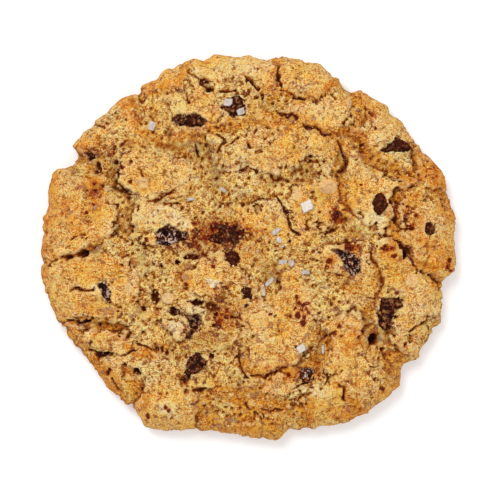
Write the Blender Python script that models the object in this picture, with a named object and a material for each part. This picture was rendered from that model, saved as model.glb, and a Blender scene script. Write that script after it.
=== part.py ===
"""A crackled chocolate chip cookie with flakes of sea salt, about 84 mm across and 12 mm thick.

The dough is one solid: a low dome with a cracked crust, open crumb in its gaps and a flat base.
Each chocolate chip is its own solid, set in a pocket of the dough. The salt flakes are fused to
what they lie on. Design sizes are in millimetres, and +Z is up from the centre of the flat base.
"""

import itertools
import math

import bmesh
import bpy
import numpy as np

MM = 0.001

# Driving dimensions, in millimetres
CROWN_HEIGHT = 10.9
RIM_HEIGHT = 3.2
BASE_INSET = 1.4
POCKET_GAP = 0.3
CHIP_DEPTH = 3.4
FLAKE_THICKNESS = 0.55
FLAKE_ROOT = 1.21

# The dough's mesh: quads across the domed side, and the share of triangles kept where it is smooth
GRID = 150
KEPT_SHARE = 0.15
OUTLINE_STEPS = 1440
CORNER_ROUNDING = 9
CHIP_SIDES = 10
FLAKE_SIDES = 6

# The profile from the crown to the base: share of the outline's radius, share of the crown height
PROFILE = (
    (0.0, 0.965), (0.25, 1.0), (0.50, 0.985), (0.70, 0.93), (0.82, 0.85), (0.90, 0.745),
    (0.950, 0.61), (0.982, 0.46), (1.0, RIM_HEIGHT / CROWN_HEIGHT), (0.997, 0.18), (0.985, 0.075),
)

# The rim seen from above, clockwise from the left: its lobes and the notches between them
RIM = (
    (-39.9, 10.6), (-39.6, 13.8), (-37.4, 15.7), (-35.6, 16.6), (-34.6, 18.8), (-35.3, 20.0),
    (-32.8, 23.0), (-31.4, 24.1), (-31.0, 25.2), (-27.0, 28.2), (-25.6, 29.8), (-21.8, 31.4),
    (-21.7, 32.2), (-18.2, 33.8), (-17.0, 35.5), (-15.2, 35.5), (-10.6, 37.7), (-9.0, 37.2),
    (-6.4, 38.8), (-1.4, 38.1), (0.2, 38.4), (4.0, 37.3), (7.0, 38.2), (10.8, 37.8),
    (12.0, 37.0), (14.6, 36.8), (18.2, 33.8), (19.0, 32.0), (20.2, 31.2), (22.6, 31.6),
    (24.6, 29.9), (27.6, 28.5), (29.0, 26.3), (30.4, 26.0), (33.4, 21.4), (34.6, 18.9),
    (36.4, 17.6), (39.2, 14.2), (40.3, 9.4), (41.5, 5.6), (41.2, 1.4), (41.7, -3.0),
    (41.2, -5.0), (38.8, -6.6), (39.1, -7.8), (38.8, -14.6), (37.2, -16.4), (37.2, -17.4),
    (34.7, -20.8), (34.0, -22.4), (31.0, -23.8), (30.8, -26.2), (27.2, -30.7), (21.6, -34.0),
    (17.0, -36.0), (13.0, -36.5), (8.0, -36.9), (6.4, -38.5), (4.0, -38.4), (-5.2, -37.5),
    (-11.6, -36.5), (-17.6, -36.9), (-20.6, -35.7), (-22.8, -32.2), (-24.4, -31.6), (-28.2, -28.5),
    (-30.0, -25.9), (-35.0, -20.1), (-36.8, -17.4), (-38.2, -14.2), (-40.8, -8.0), (-41.6, -5.0),
    (-41.6, -1.4), (-40.9, 2.6), (-40.8, 7.0),
)

# Gaps between the plates of crust: name, depth, then x, y and half-width along each
GAPS = (
    ("upper left bay", 1.7, ((-35.8, 17.2, 2.2), (-32.6, 17.6, 2.3), (-29.6, 17.4, 2.0), (-26.8, 15.8, 1.8),
                             (-25.8, 12.6, 1.5), (-25.0, 9.4, 1.6), (-24.4, 6.2, 1.6), (-24.2, 3.0, 2.0))),
    ("crumb left of centre", 0.9, ((-23.6, 1.4, 2.2), (-20.0, -1.8, 2.9), (-16.6, -4.2, 3.0),
                                   (-17.6, -8.6, 2.4), (-20.6, -11.6, 2.0))),
    ("upper left crumb", 1.0, ((-21.0, 30.4, 1.2), (-18.6, 27.8, 2.0), (-19.2, 24.2, 1.8))),
    ("long valley", 1.4, ((-18.0, 21.2, 0.8), (-14.6, 19.6, 1.0), (-9.6, 18.6, 1.4), (-7.4, 15.8, 1.5),
                          (-4.8, 11.4, 1.3), (-4.8, 7.0, 1.2), (-5.2, 4.2, 1.4))),
    ("top crack", 2.0, ((-12.4, 34.8, 0.5), (-9.0, 33.4, 0.9), (-6.8, 31.4, 0.9), (-6.6, 29.2, 0.5))),
    ("top middle crack", 1.6, ((-0.4, 34.0, 0.4), (1.8, 31.8, 0.8), (2.6, 30.2, 0.8))),
    ("top right crack", 1.3, ((5.8, 35.8, 0.5), (5.6, 33.8, 0.7), (6.8, 32.0, 0.5))),
    ("upper crumb", 1.1, ((0.4, 26.4, 1.0), (3.4, 28.6, 1.5), (7.0, 29.4, 1.0))),
    ("upper right fold", 1.5, ((5.6, 27.2, 0.5), (10.0, 25.4, 0.7), (12.2, 24.0, 0.8), (17.0, 22.0, 0.7),
                               (19.4, 22.4, 1.0), (22.8, 20.6, 1.2), (24.4, 17.6, 1.1), (28.0, 15.6, 1.0),
                               (32.4, 14.8, 0.6))),
    ("right of centre", 1.5, ((18.4, 21.4, 0.8), (19.4, 16.8, 1.5), (19.0, 12.2, 0.9), (19.2, 8.8, 0.8),
                              (21.6, 5.8, 1.0))),
    ("right crumb", 0.9, ((16.4, 3.8, 1.4), (20.4, 3.4, 1.7), (25.4, 4.2, 1.5))),
    ("right crack", 2.0, ((31.6, 11.0, 0.9), (29.6, 8.6, 0.8), (29.4, 4.6, 0.8), (30.0, 1.4, 0.8),
                          (32.2, -1.6, 1.0), (34.0, -4.6, 0.9))),
    ("inner right crack", 1.3, ((24.6, -0.6, 0.6), (25.6, -4.2, 0.8), (26.4, -8.6, 0.7))),
    ("lower right crumb", 1.3, ((22.8, -15.0, 1.2), (25.6, -18.6, 2.0), (28.8, -21.0, 1.8),
                                (32.0, -23.0, 1.3))),
    ("right rim crack", 1.1, ((38.4, -14.0, 0.9), (36.0, -15.0, 0.7), (33.4, -16.6, 0.5))),
    ("centre hollow", 1.6, ((-8.6, 1.4, 1.6), (-5.2, 2.2, 2.2), (-2.4, 1.4, 2.0))),
    ("inner crack", 1.2, ((5.4, 10.0, 0.5), (8.0, 6.0, 0.7), (10.2, 2.4, 0.6))),
    ("upper middle crumb", 1.2, ((2.8, 11.4, 1.4), (6.4, 12.6, 1.6), (10.4, 15.4, 1.5), (12.2, 16.8, 0.9))),
    ("left crack", 1.8, ((-36.8, -2.2, 0.6), (-34.0, -1.8, 0.7), (-31.6, -1.0, 1.0), (-28.6, 0.8, 1.2),
                         (-26.0, 2.2, 0.8))),
    ("lower left valley", 1.5, ((-36.8, -16.8, 1.4), (-34.0, -15.2, 1.3), (-30.6, -15.0, 1.4),
                                (-27.2, -15.8, 1.3), (-24.8, -17.6, 1.2), (-21.6, -19.4, 1.0),
                                (-17.6, -20.6, 0.9))),
    ("lower left bay", 1.5, ((-35.6, -18.4, 1.4), (-32.6, -20.6, 1.4), (-29.6, -21.8, 1.3),
                             (-27.2, -21.2, 0.8))),
    ("lower pocket", 1.2, ((-22.8, -24.6, 1.0), (-21.8, -28.2, 1.4), (-23.4, -31.4, 1.4))),
    ("bottom crumb", 1.0, ((-8.6, -30.6, 2.0), (-6.6, -34.6, 2.4), (-1.6, -31.6, 2.4), (3.4, -32.6, 2.2),
                           (8.4, -34.2, 2.2), (10.4, -31.6, 1.6))),
    ("lower slot", 1.7, ((-11.6, -10.8, 0.5), (-9.0, -11.0, 0.7), (-6.0, -12.2, 0.8), (-6.4, -15.0, 1.0))),
    ("lower hollow", 1.3, ((16.0, -18.6, 1.2), (14.0, -21.8, 1.6), (11.0, -25.0, 1.6), (9.0, -28.6, 1.0))),
    ("lower right rim crack", 1.0, ((18.4, -27.8, 0.5), (19.4, -30.6, 0.7), (20.8, -32.8, 1.0))),
)
EDGE_RAGGEDNESS = 0.7
# A gap's wall runs from this share of its half-width in to that
WALL_TOP_SHARE = 1.35
WALL_FOOT_SHARE = 0.65

# Chips: name, x, y, half-length, half-width, turn in degrees, squareness, taper, bend, rise
CHIPS = (
    ("chip_upper_left", -11.6, 25.2, 3.4, 1.4, 0, 2.0, 0.0, -0.5, 0.1),
    ("chip_salted", -2.6, 28.0, 3.0, 1.8, -41, 1.5, 0.0, 0.0, 0.2),
    ("chip_upper_right", 29.6, 20.2, 3.4, 1.2, 8, 2.0, 0.0, 0.8, 0.1),
    ("chip_right", 26.2, 8.2, 2.2, 1.6, 75, 1.6, -0.35, 0.0, 0.1),
    ("chip_right_of_centre", 19.8, -3.2, 3.6, 1.7, -52, 1.7, 0.0, 0.5, 0.3),
    ("chip_lower_right", 28.0, -13.0, 3.2, 1.9, -86, 1.3, -0.35, 0.0, 0.2),
    ("chip_left_of_centre", -15.2, 2.2, 3.3, 2.2, 12, 2.0, 0.0, 0.3, 0.1),
    ("chip_centre", -4.4, 1.4, 2.4, 1.7, -20, 2.0, 0.0, 0.0, 0.2),
    ("chip_below_centre", -3.2, -2.4, 1.7, 1.1, -50, 2.0, 0.1, 0.0, 0.2),
    ("chip_lower_centre", -0.2, -9.8, 2.1, 1.1, -78, 2.0, 0.0, 0.2, 0.2),
    ("chip_left", -28.8, -9.2, 2.4, 1.0, -62, 2.0, 0.0, 0.0, 0.1),
    ("chip_lower_left", -10.4, -23.8, 3.1, 2.3, 55, 1.9, -0.2, 0.0, 0.2),
    ("chip_lower_slot", -11.6, -14.8, 3.2, 1.0, -25, 2.0, 0.1, 0.0, 0.2),
    ("chip_rim", 36.0, 4.0, 1.7, 0.8, 80, 2.0, 0.0, 0.0, 0.0),
    ("chip_lower_hollow", 11.4, -25.8, 2.1, 1.0, 4, 2.0, 0.0, 0.0, 0.3),
)

# Salt flakes on the dough: x, y, half-length, half-width, turn in degrees
FLAKES = (
    (-19.2, 24.6, 0.9, 0.7, 70), (11.8, 8.2, 1.4, 1.3, 20), (5.4, 3.2, 1.2, 0.6, 35),
    (6.4, 1.4, 0.7, 0.6, 80), (8.2, -3.0, 1.5, 0.7, -12), (11.4, -5.0, 1.0, 0.6, 5),
    (3.0, -8.6, 1.2, 0.6, 88), (4.6, -6.8, 1.1, 0.6, 40), (10.6, -20.4, 1.1, 0.9, 25),
    (15.0, -20.4, 1.2, 0.5, 86), (-11.4, 9.6, 0.9, 0.5, 2), (-5.0, 11.6, 0.8, 0.5, -40),
    (-4.0, -21.2, 1.0, 0.6, 10),
)
# Salt flakes on the salted chip, and how far their middles stand above its top
CHIP_FLAKES = ((-4.0, 28.6, 0.95, 0.85, 0), (-1.2, 27.0, 0.9, 0.8, 15))
FLAKE_RISE = 0.15


def value_noise(points, size, seed):
    """Smooth noise from -1 to 1 at each row of points, with bumps about size apart."""
    cell = np.floor(points / size)
    part = points / size - cell
    blend = part * part * (3 - 2 * part)
    cell = cell.astype(np.int64)
    total = np.zeros(len(points))
    for corner in itertools.product((0, 1), repeat=points.shape[1]):
        code = np.full(len(points), seed + 1, dtype=np.int64)
        weight = np.ones(len(points))
        for axis, step in enumerate(corner):
            code = (code * 1597334677 + (cell[:, axis] + step) * 3812015801) & 0xFFFFFFFF
            weight *= blend[:, axis] if step else 1 - blend[:, axis]
        code ^= code >> 15
        code = (code * 2246822519) & 0xFFFFFFFF
        code ^= code >> 13
        total += weight * (code / 0x7FFFFFFF - 1)
    return total


def rim_radius():
    """The outline's radius at evenly spaced angles: straight between the points, with rounded corners."""
    rim = np.array(RIM)
    angle = np.mod(np.arctan2(rim[:, 1], rim[:, 0]), 2 * math.pi)
    order = np.argsort(angle)
    turn = np.arange(OUTLINE_STEPS) * 2 * math.pi / OUTLINE_STEPS
    radius = np.interp(turn, angle[order], np.hypot(*rim[order].T), period=2 * math.pi)
    window = np.hanning(CORNER_ROUNDING + 2)[1:-1]
    padded = np.concatenate([radius[-CORNER_ROUNDING:], radius, radius[:CORNER_ROUNDING]])
    rounded = np.convolve(padded, window / window.sum(), mode="same")
    return rounded[CORNER_ROUNDING:-CORNER_ROUNDING]


RADIUS = rim_radius()


def radius_at(angle):
    step = np.mod(angle, 2 * math.pi) / (2 * math.pi) * OUTLINE_STEPS
    return np.interp(step, np.arange(OUTLINE_STEPS + 1), np.append(RADIUS, RADIUS[0]))


def full_profile():
    """The profile as rows of radius share and height, down to the flat base."""
    base_share = 1 - BASE_INSET / np.mean(RADIUS)
    rows = [(share, height * CROWN_HEIGHT) for share, height in PROFILE]
    return np.array(rows + [(base_share, 0.0)])


def stroke_depth(x, y, stroke):
    """How far inside a gap each point lies: 1 on its floor, falling to 0 at its walls."""
    inside = np.zeros(len(x))
    for (x0, y0, w0), (x1, y1, w1) in zip(stroke, stroke[1:]):
        dx, dy = x1 - x0, y1 - y0
        along = np.clip(((x - x0) * dx + (y - y0) * dy) / (dx * dx + dy * dy), 0, 1)
        away = np.hypot(x - x0 - along * dx, y - y0 - along * dy)
        share = away / (w0 + along * (w1 - w0))
        climb = (WALL_TOP_SHARE - share) / (WALL_TOP_SHARE - WALL_FOOT_SHARE)
        inside = np.maximum(inside, np.clip(climb, 0, 1))
    return inside * inside * (3 - 2 * inside)


def relief(x, y):
    """The crust's height above the plain dome: swells and plates, with crumbly gaps between them."""
    flat = np.column_stack([x, y])
    wander_x = EDGE_RAGGEDNESS * (value_noise(flat, 4.0, 11) + 0.4 * value_noise(flat, 1.6, 12))
    wander_y = EDGE_RAGGEDNESS * (value_noise(flat, 4.0, 13) + 0.4 * value_noise(flat, 1.6, 14))
    depth = np.zeros(len(x))
    opened = np.zeros(len(x))
    for _, deep, stroke in GAPS:
        inside = stroke_depth(x + wander_x, y + wander_y, stroke)
        depth = np.maximum(depth, deep * inside)
        opened = np.maximum(opened, inside)
    swell = 0.45 * value_noise(flat, 13.0, 1) + 0.25 * value_noise(flat, 6.0, 2)
    crust = 0.12 * value_noise(flat, 2.6, 3)
    crumb = 0.4 * value_noise(flat, 2.1, 4)
    return swell + crust * (1 - opened) + crumb * opened - depth


def dome_height(x, y):
    """The top's height at x, y."""
    share = np.hypot(x, y) / radius_at(np.arctan2(y, x))
    profile = full_profile()
    top = profile[profile[:, 1] >= RIM_HEIGHT]
    return np.interp(share, top[:, 0], top[:, 1]) + relief(x, y)


def height_at(x, y):
    return float(dome_height(np.array([x]), np.array([y]))[0])


def object_from(bm, name, material):
    mesh = bpy.data.meshes.new(name)
    bm.to_mesh(mesh)
    bm.free()
    made = bpy.data.objects.new(name, mesh)
    bpy.context.scene.collection.objects.link(made)
    made.data.materials.append(material)
    return made


def make_material(name, colour, roughness):
    material = bpy.data.materials.new(name)
    material.use_nodes = True
    shader = material.node_tree.nodes["Principled BSDF"]
    shader.inputs["Base Color"].default_value = (*colour, 1.0)
    shader.inputs["Roughness"].default_value = roughness
    shader.inputs["Metallic"].default_value = 0.0
    material.diffuse_color = (*colour, 1.0)
    return material


def domed_shell():
    """The top and sides as a grid of quads laid over the disc, open at the base."""
    profile = full_profile()
    reach = np.hypot(np.diff(profile[:, 0]) * np.mean(RADIUS), np.diff(profile[:, 1]))
    travelled = np.concatenate([[0], np.cumsum(reach)])
    u, v = np.meshgrid(np.linspace(-1, 1, GRID + 1), np.linspace(-1, 1, GRID + 1))
    u, v = u.ravel(), v.ravel()
    wide = np.abs(u) > np.abs(v)
    outward = np.where(wide, u, v)
    sideways = np.where(wide, v, u) / np.where(outward == 0, 1, outward)
    angle = np.where(wide, sideways, 2 - sideways) * math.pi / 4
    angle = np.where(outward < 0, angle + math.pi, angle)
    along = np.abs(outward) * travelled[-1]
    share = np.interp(along, travelled, profile[:, 0])
    height = np.interp(along, travelled, profile[:, 1])
    slope_out = np.gradient(profile[:, 0] * np.mean(RADIUS), travelled)
    slope_up = np.gradient(profile[:, 1], travelled)
    out = -np.interp(along, travelled, slope_up)
    up = np.interp(along, travelled, slope_out)
    radius = share * radius_at(angle)
    x, y = radius * np.cos(angle), radius * np.sin(angle)
    raised = relief(x, y) * np.clip(height / RIM_HEIGHT, 0, 1)
    size = np.maximum(np.hypot(out, up), 1e-6)
    out, up = out / size * raised, up / size * raised
    points = np.column_stack([x + out * np.cos(angle), y + out * np.sin(angle), height + up]) * MM
    corner = np.arange(GRID * (GRID + 1)).reshape(GRID, GRID + 1)[:, :-1].ravel()
    quads = np.column_stack([corner, corner + 1, corner + GRID + 2, corner + GRID + 1])
    mesh = bpy.data.meshes.new("shell")
    mesh.from_pydata(points.tolist(), [], quads.tolist())
    return bpy.data.objects.new("shell", mesh)


def thinned(shell, share):
    """A mesh of the shell with fewer triangles, most of them left where the crust is craggy."""
    bpy.context.scene.collection.objects.link(shell)
    modifier = shell.modifiers.new("Thin", "DECIMATE")
    modifier.ratio = share
    bpy.context.view_layer.update()
    graph = bpy.context.evaluated_depsgraph_get()
    mesh = bpy.data.meshes.new_from_object(shell.evaluated_get(graph))
    bpy.data.objects.remove(shell)
    return mesh


def make_dough(material):
    bm = bmesh.new()
    bm.from_mesh(thinned(domed_shell(), KEPT_SHARE))
    border = [edge for edge in bm.edges if edge.is_boundary]
    for edge in border:
        for vert in edge.verts:
            vert.co.z = 0.0
    bmesh.ops.edgeloop_fill(bm, edges=border)
    bmesh.ops.recalc_face_normals(bm, faces=bm.faces)
    bmesh.ops.triangulate(bm, faces=bm.faces)
    return object_from(bm, "dough", material)


def chip_outline(half_length, half_width, turn, squareness, taper, bend, grow):
    """Points round a chip: a rounded lozenge that may narrow to one end and bend like a crescent."""
    points = []
    for step in range(CHIP_SIDES):
        angle = 2 * math.pi * step / CHIP_SIDES
        across, up = math.cos(angle), math.sin(angle)
        along = math.copysign(abs(across) ** (2 / squareness), across)
        aside = math.copysign(abs(up) ** (2 / squareness), up) * (1 + taper * along)
        px = along * (half_length + grow)
        py = aside * (half_width + grow) + bend * (0.5 - along * along)
        spin = math.radians(turn)
        points.append((px * math.cos(spin) - py * math.sin(spin), px * math.sin(spin) + py * math.cos(spin)))
    return points


def lofted(rings, centre):
    """A closed bmesh through rings of points, each ring an outline, its scale and its height."""
    bm = bmesh.new()
    loops = []
    for outline, scale, height in rings:
        loops.append([
            bm.verts.new((
                (centre[0] + x * scale) * MM,
                (centre[1] + y * scale) * MM,
                (centre[2] + height) * MM,
            ))
            for x, y in outline
        ])
    for low, high in zip(loops, loops[1:]):
        for i in range(len(low)):
            j = (i + 1) % len(low)
            bm.faces.new((low[i], low[j], high[j], high[i]))
    bm.faces.new(loops[0][::-1])
    bm.faces.new(loops[-1])
    bmesh.ops.recalc_face_normals(bm, faces=bm.faces)
    bmesh.ops.triangulate(bm, faces=bm.faces)
    return bm


def make_chip(row, material):
    """The chip and the cutter of its pocket, which is larger by the gap and open upwards."""
    name, x, y, half_length, half_width, turn, squareness, taper, bend, rise = row
    centre = (x, y, height_at(x, y) + rise)
    shape = chip_outline(half_length, half_width, turn, squareness, taper, bend, 0)
    room = chip_outline(half_length, half_width, turn, squareness, taper, bend, POCKET_GAP)
    body = (
        (shape, 0.40, -CHIP_DEPTH), (shape, 0.80, -0.7 * CHIP_DEPTH), (shape, 1.0, -0.2 * CHIP_DEPTH),
        (shape, 0.92, 0.0), (shape, 0.5, 0.35),
    )
    space = (
        (room, 0.44, -CHIP_DEPTH - POCKET_GAP), (room, 0.86, -0.7 * CHIP_DEPTH - POCKET_GAP),
        (room, 1.0, -0.2 * CHIP_DEPTH - POCKET_GAP), (room, 1.04, CHIP_DEPTH),
    )
    chip = object_from(lofted(body, centre), name, material)
    cutter = object_from(lofted(space, centre), "pocket_" + name, material)
    return chip, cutter


def make_flake(x, y, height, half_length, half_width, turn, seed, material):
    """One flat, six-sided crystal, a little tilted, half sunk in what it lies on."""
    rng = np.random.default_rng(seed)
    reach = rng.uniform(0.82, 1.12, FLAKE_SIDES)
    outline = []
    for step in range(FLAKE_SIDES):
        angle = 2 * math.pi * (step + 0.5) / FLAKE_SIDES
        px, py = half_length * reach[step] * math.cos(angle), half_width * reach[step] * math.sin(angle)
        spin = math.radians(turn)
        outline.append((px * math.cos(spin) - py * math.sin(spin), px * math.sin(spin) + py * math.cos(spin)))
    rings = (
        (outline, 1.0, -FLAKE_ROOT),
        (outline, 1.0, 0.5 * FLAKE_THICKNESS),
        (outline, 0.8, FLAKE_THICKNESS),
    )
    return object_from(lofted(rings, (x, y, height)), f"flake_{seed}", material)


def combine(target, helpers, operation):
    """Cuts or joins the helpers into the target in one Boolean, applies it and removes them."""
    group = bpy.data.collections.new("helpers")
    bpy.context.scene.collection.children.link(group)
    for helper in helpers:
        bpy.context.scene.collection.objects.unlink(helper)
        group.objects.link(helper)
    modifier = target.modifiers.new(operation.title(), "BOOLEAN")
    modifier.operation = operation
    modifier.operand_type = "COLLECTION"
    modifier.collection = group
    modifier.solver = "MANIFOLD"
    bpy.context.view_layer.update()
    graph = bpy.context.evaluated_depsgraph_get()
    mesh = bpy.data.meshes.new_from_object(target.evaluated_get(graph))
    target.modifiers.clear()
    target.data = mesh
    for helper in helpers:
        bpy.data.objects.remove(helper)
    bpy.data.collections.remove(group)


def main():
    for old in list(bpy.data.objects):
        bpy.data.objects.remove(old)
    dough_look = make_material("baked_dough", (0.56, 0.30, 0.09), 0.85)
    chocolate = make_material("dark_chocolate", (0.045, 0.018, 0.010), 0.4)
    salt = make_material("salt", (0.80, 0.76, 0.78), 0.3)
    dough = make_dough(dough_look)
    made = {row[0]: make_chip(row, chocolate) for row in CHIPS}
    flakes = []
    for seed, (x, y, half_length, half_width, turn) in enumerate(FLAKES):
        height = height_at(x, y) + FLAKE_RISE
        flakes.append(make_flake(x, y, height, half_length, half_width, turn, seed, salt))
    combine(dough, flakes, "UNION")
    combine(dough, [cutter for _, cutter in made.values()], "DIFFERENCE")
    salted = made["chip_salted"][0]
    top = max(corner[2] for corner in salted.bound_box) / MM
    chip_flakes = [
        make_flake(x, y, top + FLAKE_RISE, half_length, half_width, turn, 100 + seed, salt)
        for seed, (x, y, half_length, half_width, turn) in enumerate(CHIP_FLAKES)
    ]
    combine(salted, chip_flakes, "UNION")


main()
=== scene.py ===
"""The looks of the chocolate chip cookie: its cracked crust and open crumb, chocolate, salt and crumbs.

Every place and size is in millimetres from the centre of the flat base, with +Y to the top of the
photo, and is turned into metres when a mesh is made.
"""

import itertools
import math

import bmesh
import bpy
import numpy as np
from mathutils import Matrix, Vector
from mathutils.bvhtree import BVHTree

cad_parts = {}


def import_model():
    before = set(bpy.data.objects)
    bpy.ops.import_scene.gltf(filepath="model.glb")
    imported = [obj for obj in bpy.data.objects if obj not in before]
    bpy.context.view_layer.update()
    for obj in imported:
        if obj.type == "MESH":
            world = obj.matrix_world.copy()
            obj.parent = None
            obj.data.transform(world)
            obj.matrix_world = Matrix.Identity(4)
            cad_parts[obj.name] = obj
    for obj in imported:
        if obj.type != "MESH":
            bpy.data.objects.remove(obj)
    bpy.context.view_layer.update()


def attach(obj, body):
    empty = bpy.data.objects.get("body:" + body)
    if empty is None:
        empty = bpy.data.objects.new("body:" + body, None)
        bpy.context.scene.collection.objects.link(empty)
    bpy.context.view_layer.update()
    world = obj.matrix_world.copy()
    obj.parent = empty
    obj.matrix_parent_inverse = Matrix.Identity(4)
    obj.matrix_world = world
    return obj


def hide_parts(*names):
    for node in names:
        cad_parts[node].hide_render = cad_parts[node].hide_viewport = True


MM = 0.001

# Further than any two places on the cookie
FAR = 99.0

# Driving dimensions, as in the solids
CROWN_HEIGHT = 10.9
RIM_HEIGHT = 3.2
BASE_INSET = 1.4

# Quads across the domed side, which halve twice on their way to the middle of the base
GRID = 288
BASE_GRID = GRID // 4
BASE_RINGS = (0.985, 0.965)

# Steps of the outline, and how many of them a corner is rounded over
OUTLINE_STEPS = 2880
CORNER_ROUNDING = 7

# The profile from the crown to the base: share of the outline's radius, share of the crown height
PROFILE = (
    (0.0, 0.965), (0.25, 1.0), (0.50, 0.985), (0.70, 0.93), (0.82, 0.85), (0.90, 0.745), (0.950, 0.61),
    (0.982, 0.46), (1.0, RIM_HEIGHT / CROWN_HEIGHT), (0.997, 0.18), (0.985, 0.075),
)

# The rim seen from above, clockwise from the left
RIM = (
    (-40.2, 6.6), (-40.8, 6.2), (-40.9, 5.4), (-39.8, 8.0), (-39.8, 12.0), (-39.5, 13.4), (-39.2, 14.6),
    (-38.2, 15.6), (-36.4, 15.8), (-35.0, 16.6), (-35.0, 17.4), (-34.6, 18.4), (-35.3, 20.2), (-34.0, 22.2),
    (-33.2, 23.2), (-31.4, 24.4), (-30.8, 25.6), (-28.8, 26.8), (-27.0, 28.4), (-26.0, 29.4), (-25.2, 30.0),
    (-22.6, 30.8), (-21.8, 31.4), (-21.6, 32.4), (-19.6, 33.2), (-18.2, 33.6), (-17.6, 34.6), (-17.0, 35.4),
    (-16.0, 35.8), (-15.0, 35.6), (-14.0, 36.4), (-12.2, 37.2), (-10.6, 37.6), (-9.0, 37.3), (-7.8, 37.9),
    (-6.8, 38.7), (-5.2, 38.5), (-2.6, 38.2), (-1.0, 38.1), (0.2, 38.4), (1.4, 38.0), (2.8, 37.5),
    (4.0, 37.3), (5.2, 37.8), (6.8, 38.2), (8.4, 37.8), (10.4, 37.8), (11.6, 37.2), (13.0, 37.0),
    (14.8, 36.8), (16.0, 35.6), (17.0, 34.4), (18.4, 33.6), (18.6, 32.8), (19.4, 31.6), (20.4, 31.0),
    (21.6, 31.2), (22.4, 31.5), (23.6, 30.8), (25.4, 29.6), (27.6, 28.6), (28.2, 27.8), (28.4, 26.8),
    (29.0, 26.3), (30.4, 26.0), (31.2, 24.8), (32.2, 23.2), (33.4, 21.4), (34.4, 20.4), (34.8, 18.8),
    (36.0, 18.2), (37.4, 16.6), (38.4, 15.4), (39.3, 13.9), (39.6, 11.8), (40.2, 10.0), (40.4, 8.2),
    (41.4, 6.6), (41.6, 5.6), (41.4, 4.2), (41.2, 1.8), (41.4, -0.6), (41.7, -3.4), (41.4, -4.8),
    (40.4, -5.6), (38.8, -6.8), (39.1, -7.8), (38.9, -9.1), (39.0, -10.6), (38.8, -12.6), (38.8, -15.2),
    (38.4, -16.0), (37.0, -16.5), (37.2, -17.2), (36.4, -18.8), (35.0, -20.2), (34.5, -21.0), (34.4, -22.0),
    (33.6, -22.6), (32.2, -23.0), (31.2, -23.6), (30.6, -24.8), (30.7, -26.2), (30.2, -27.8), (29.0, -28.6),
    (28.0, -29.8), (26.4, -31.2), (24.6, -32.8), (23.0, -33.6), (21.4, -34.2), (20.4, -35.0), (18.4, -35.6),
    (17.0, -36.0), (15.4, -35.8), (14.0, -36.0), (13.4, -36.6), (11.4, -36.3), (10.2, -37.0), (8.6, -36.8),
    (7.4, -37.2), (6.6, -38.2), (5.4, -38.7), (2.8, -38.4), (0.4, -38.0), (-2.6, -37.6), (-5.2, -37.5),
    (-6.6, -37.0), (-9.0, -37.2), (-10.4, -36.6), (-12.0, -36.6), (-13.6, -37.0), (-18.6, -36.8),
    (-21.0, -36.0), (-21.4, -34.8), (-22.2, -33.6), (-23.0, -32.0), (-24.4, -31.6), (-25.6, -30.6),
    (-26.6, -29.4), (-28.2, -28.2), (-29.0, -26.6), (-30.6, -24.8), (-32.0, -23.4), (-33.6, -21.8),
    (-34.2, -20.6), (-35.2, -20.2), (-35.8, -18.8), (-36.8, -17.2), (-37.0, -16.2), (-38.2, -14.4),
    (-38.4, -13.2), (-39.2, -11.8), (-39.8, -10.6), (-40.4, -8.6), (-41.2, -6.8), (-41.6, -5.4),
    (-41.4, -3.6), (-41.3, -2.4), (-41.6, -0.6), (-41.2, 1.4), (-40.8, 2.8), (-41.1, 3.6), (-40.6, 5.0),
)

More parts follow.
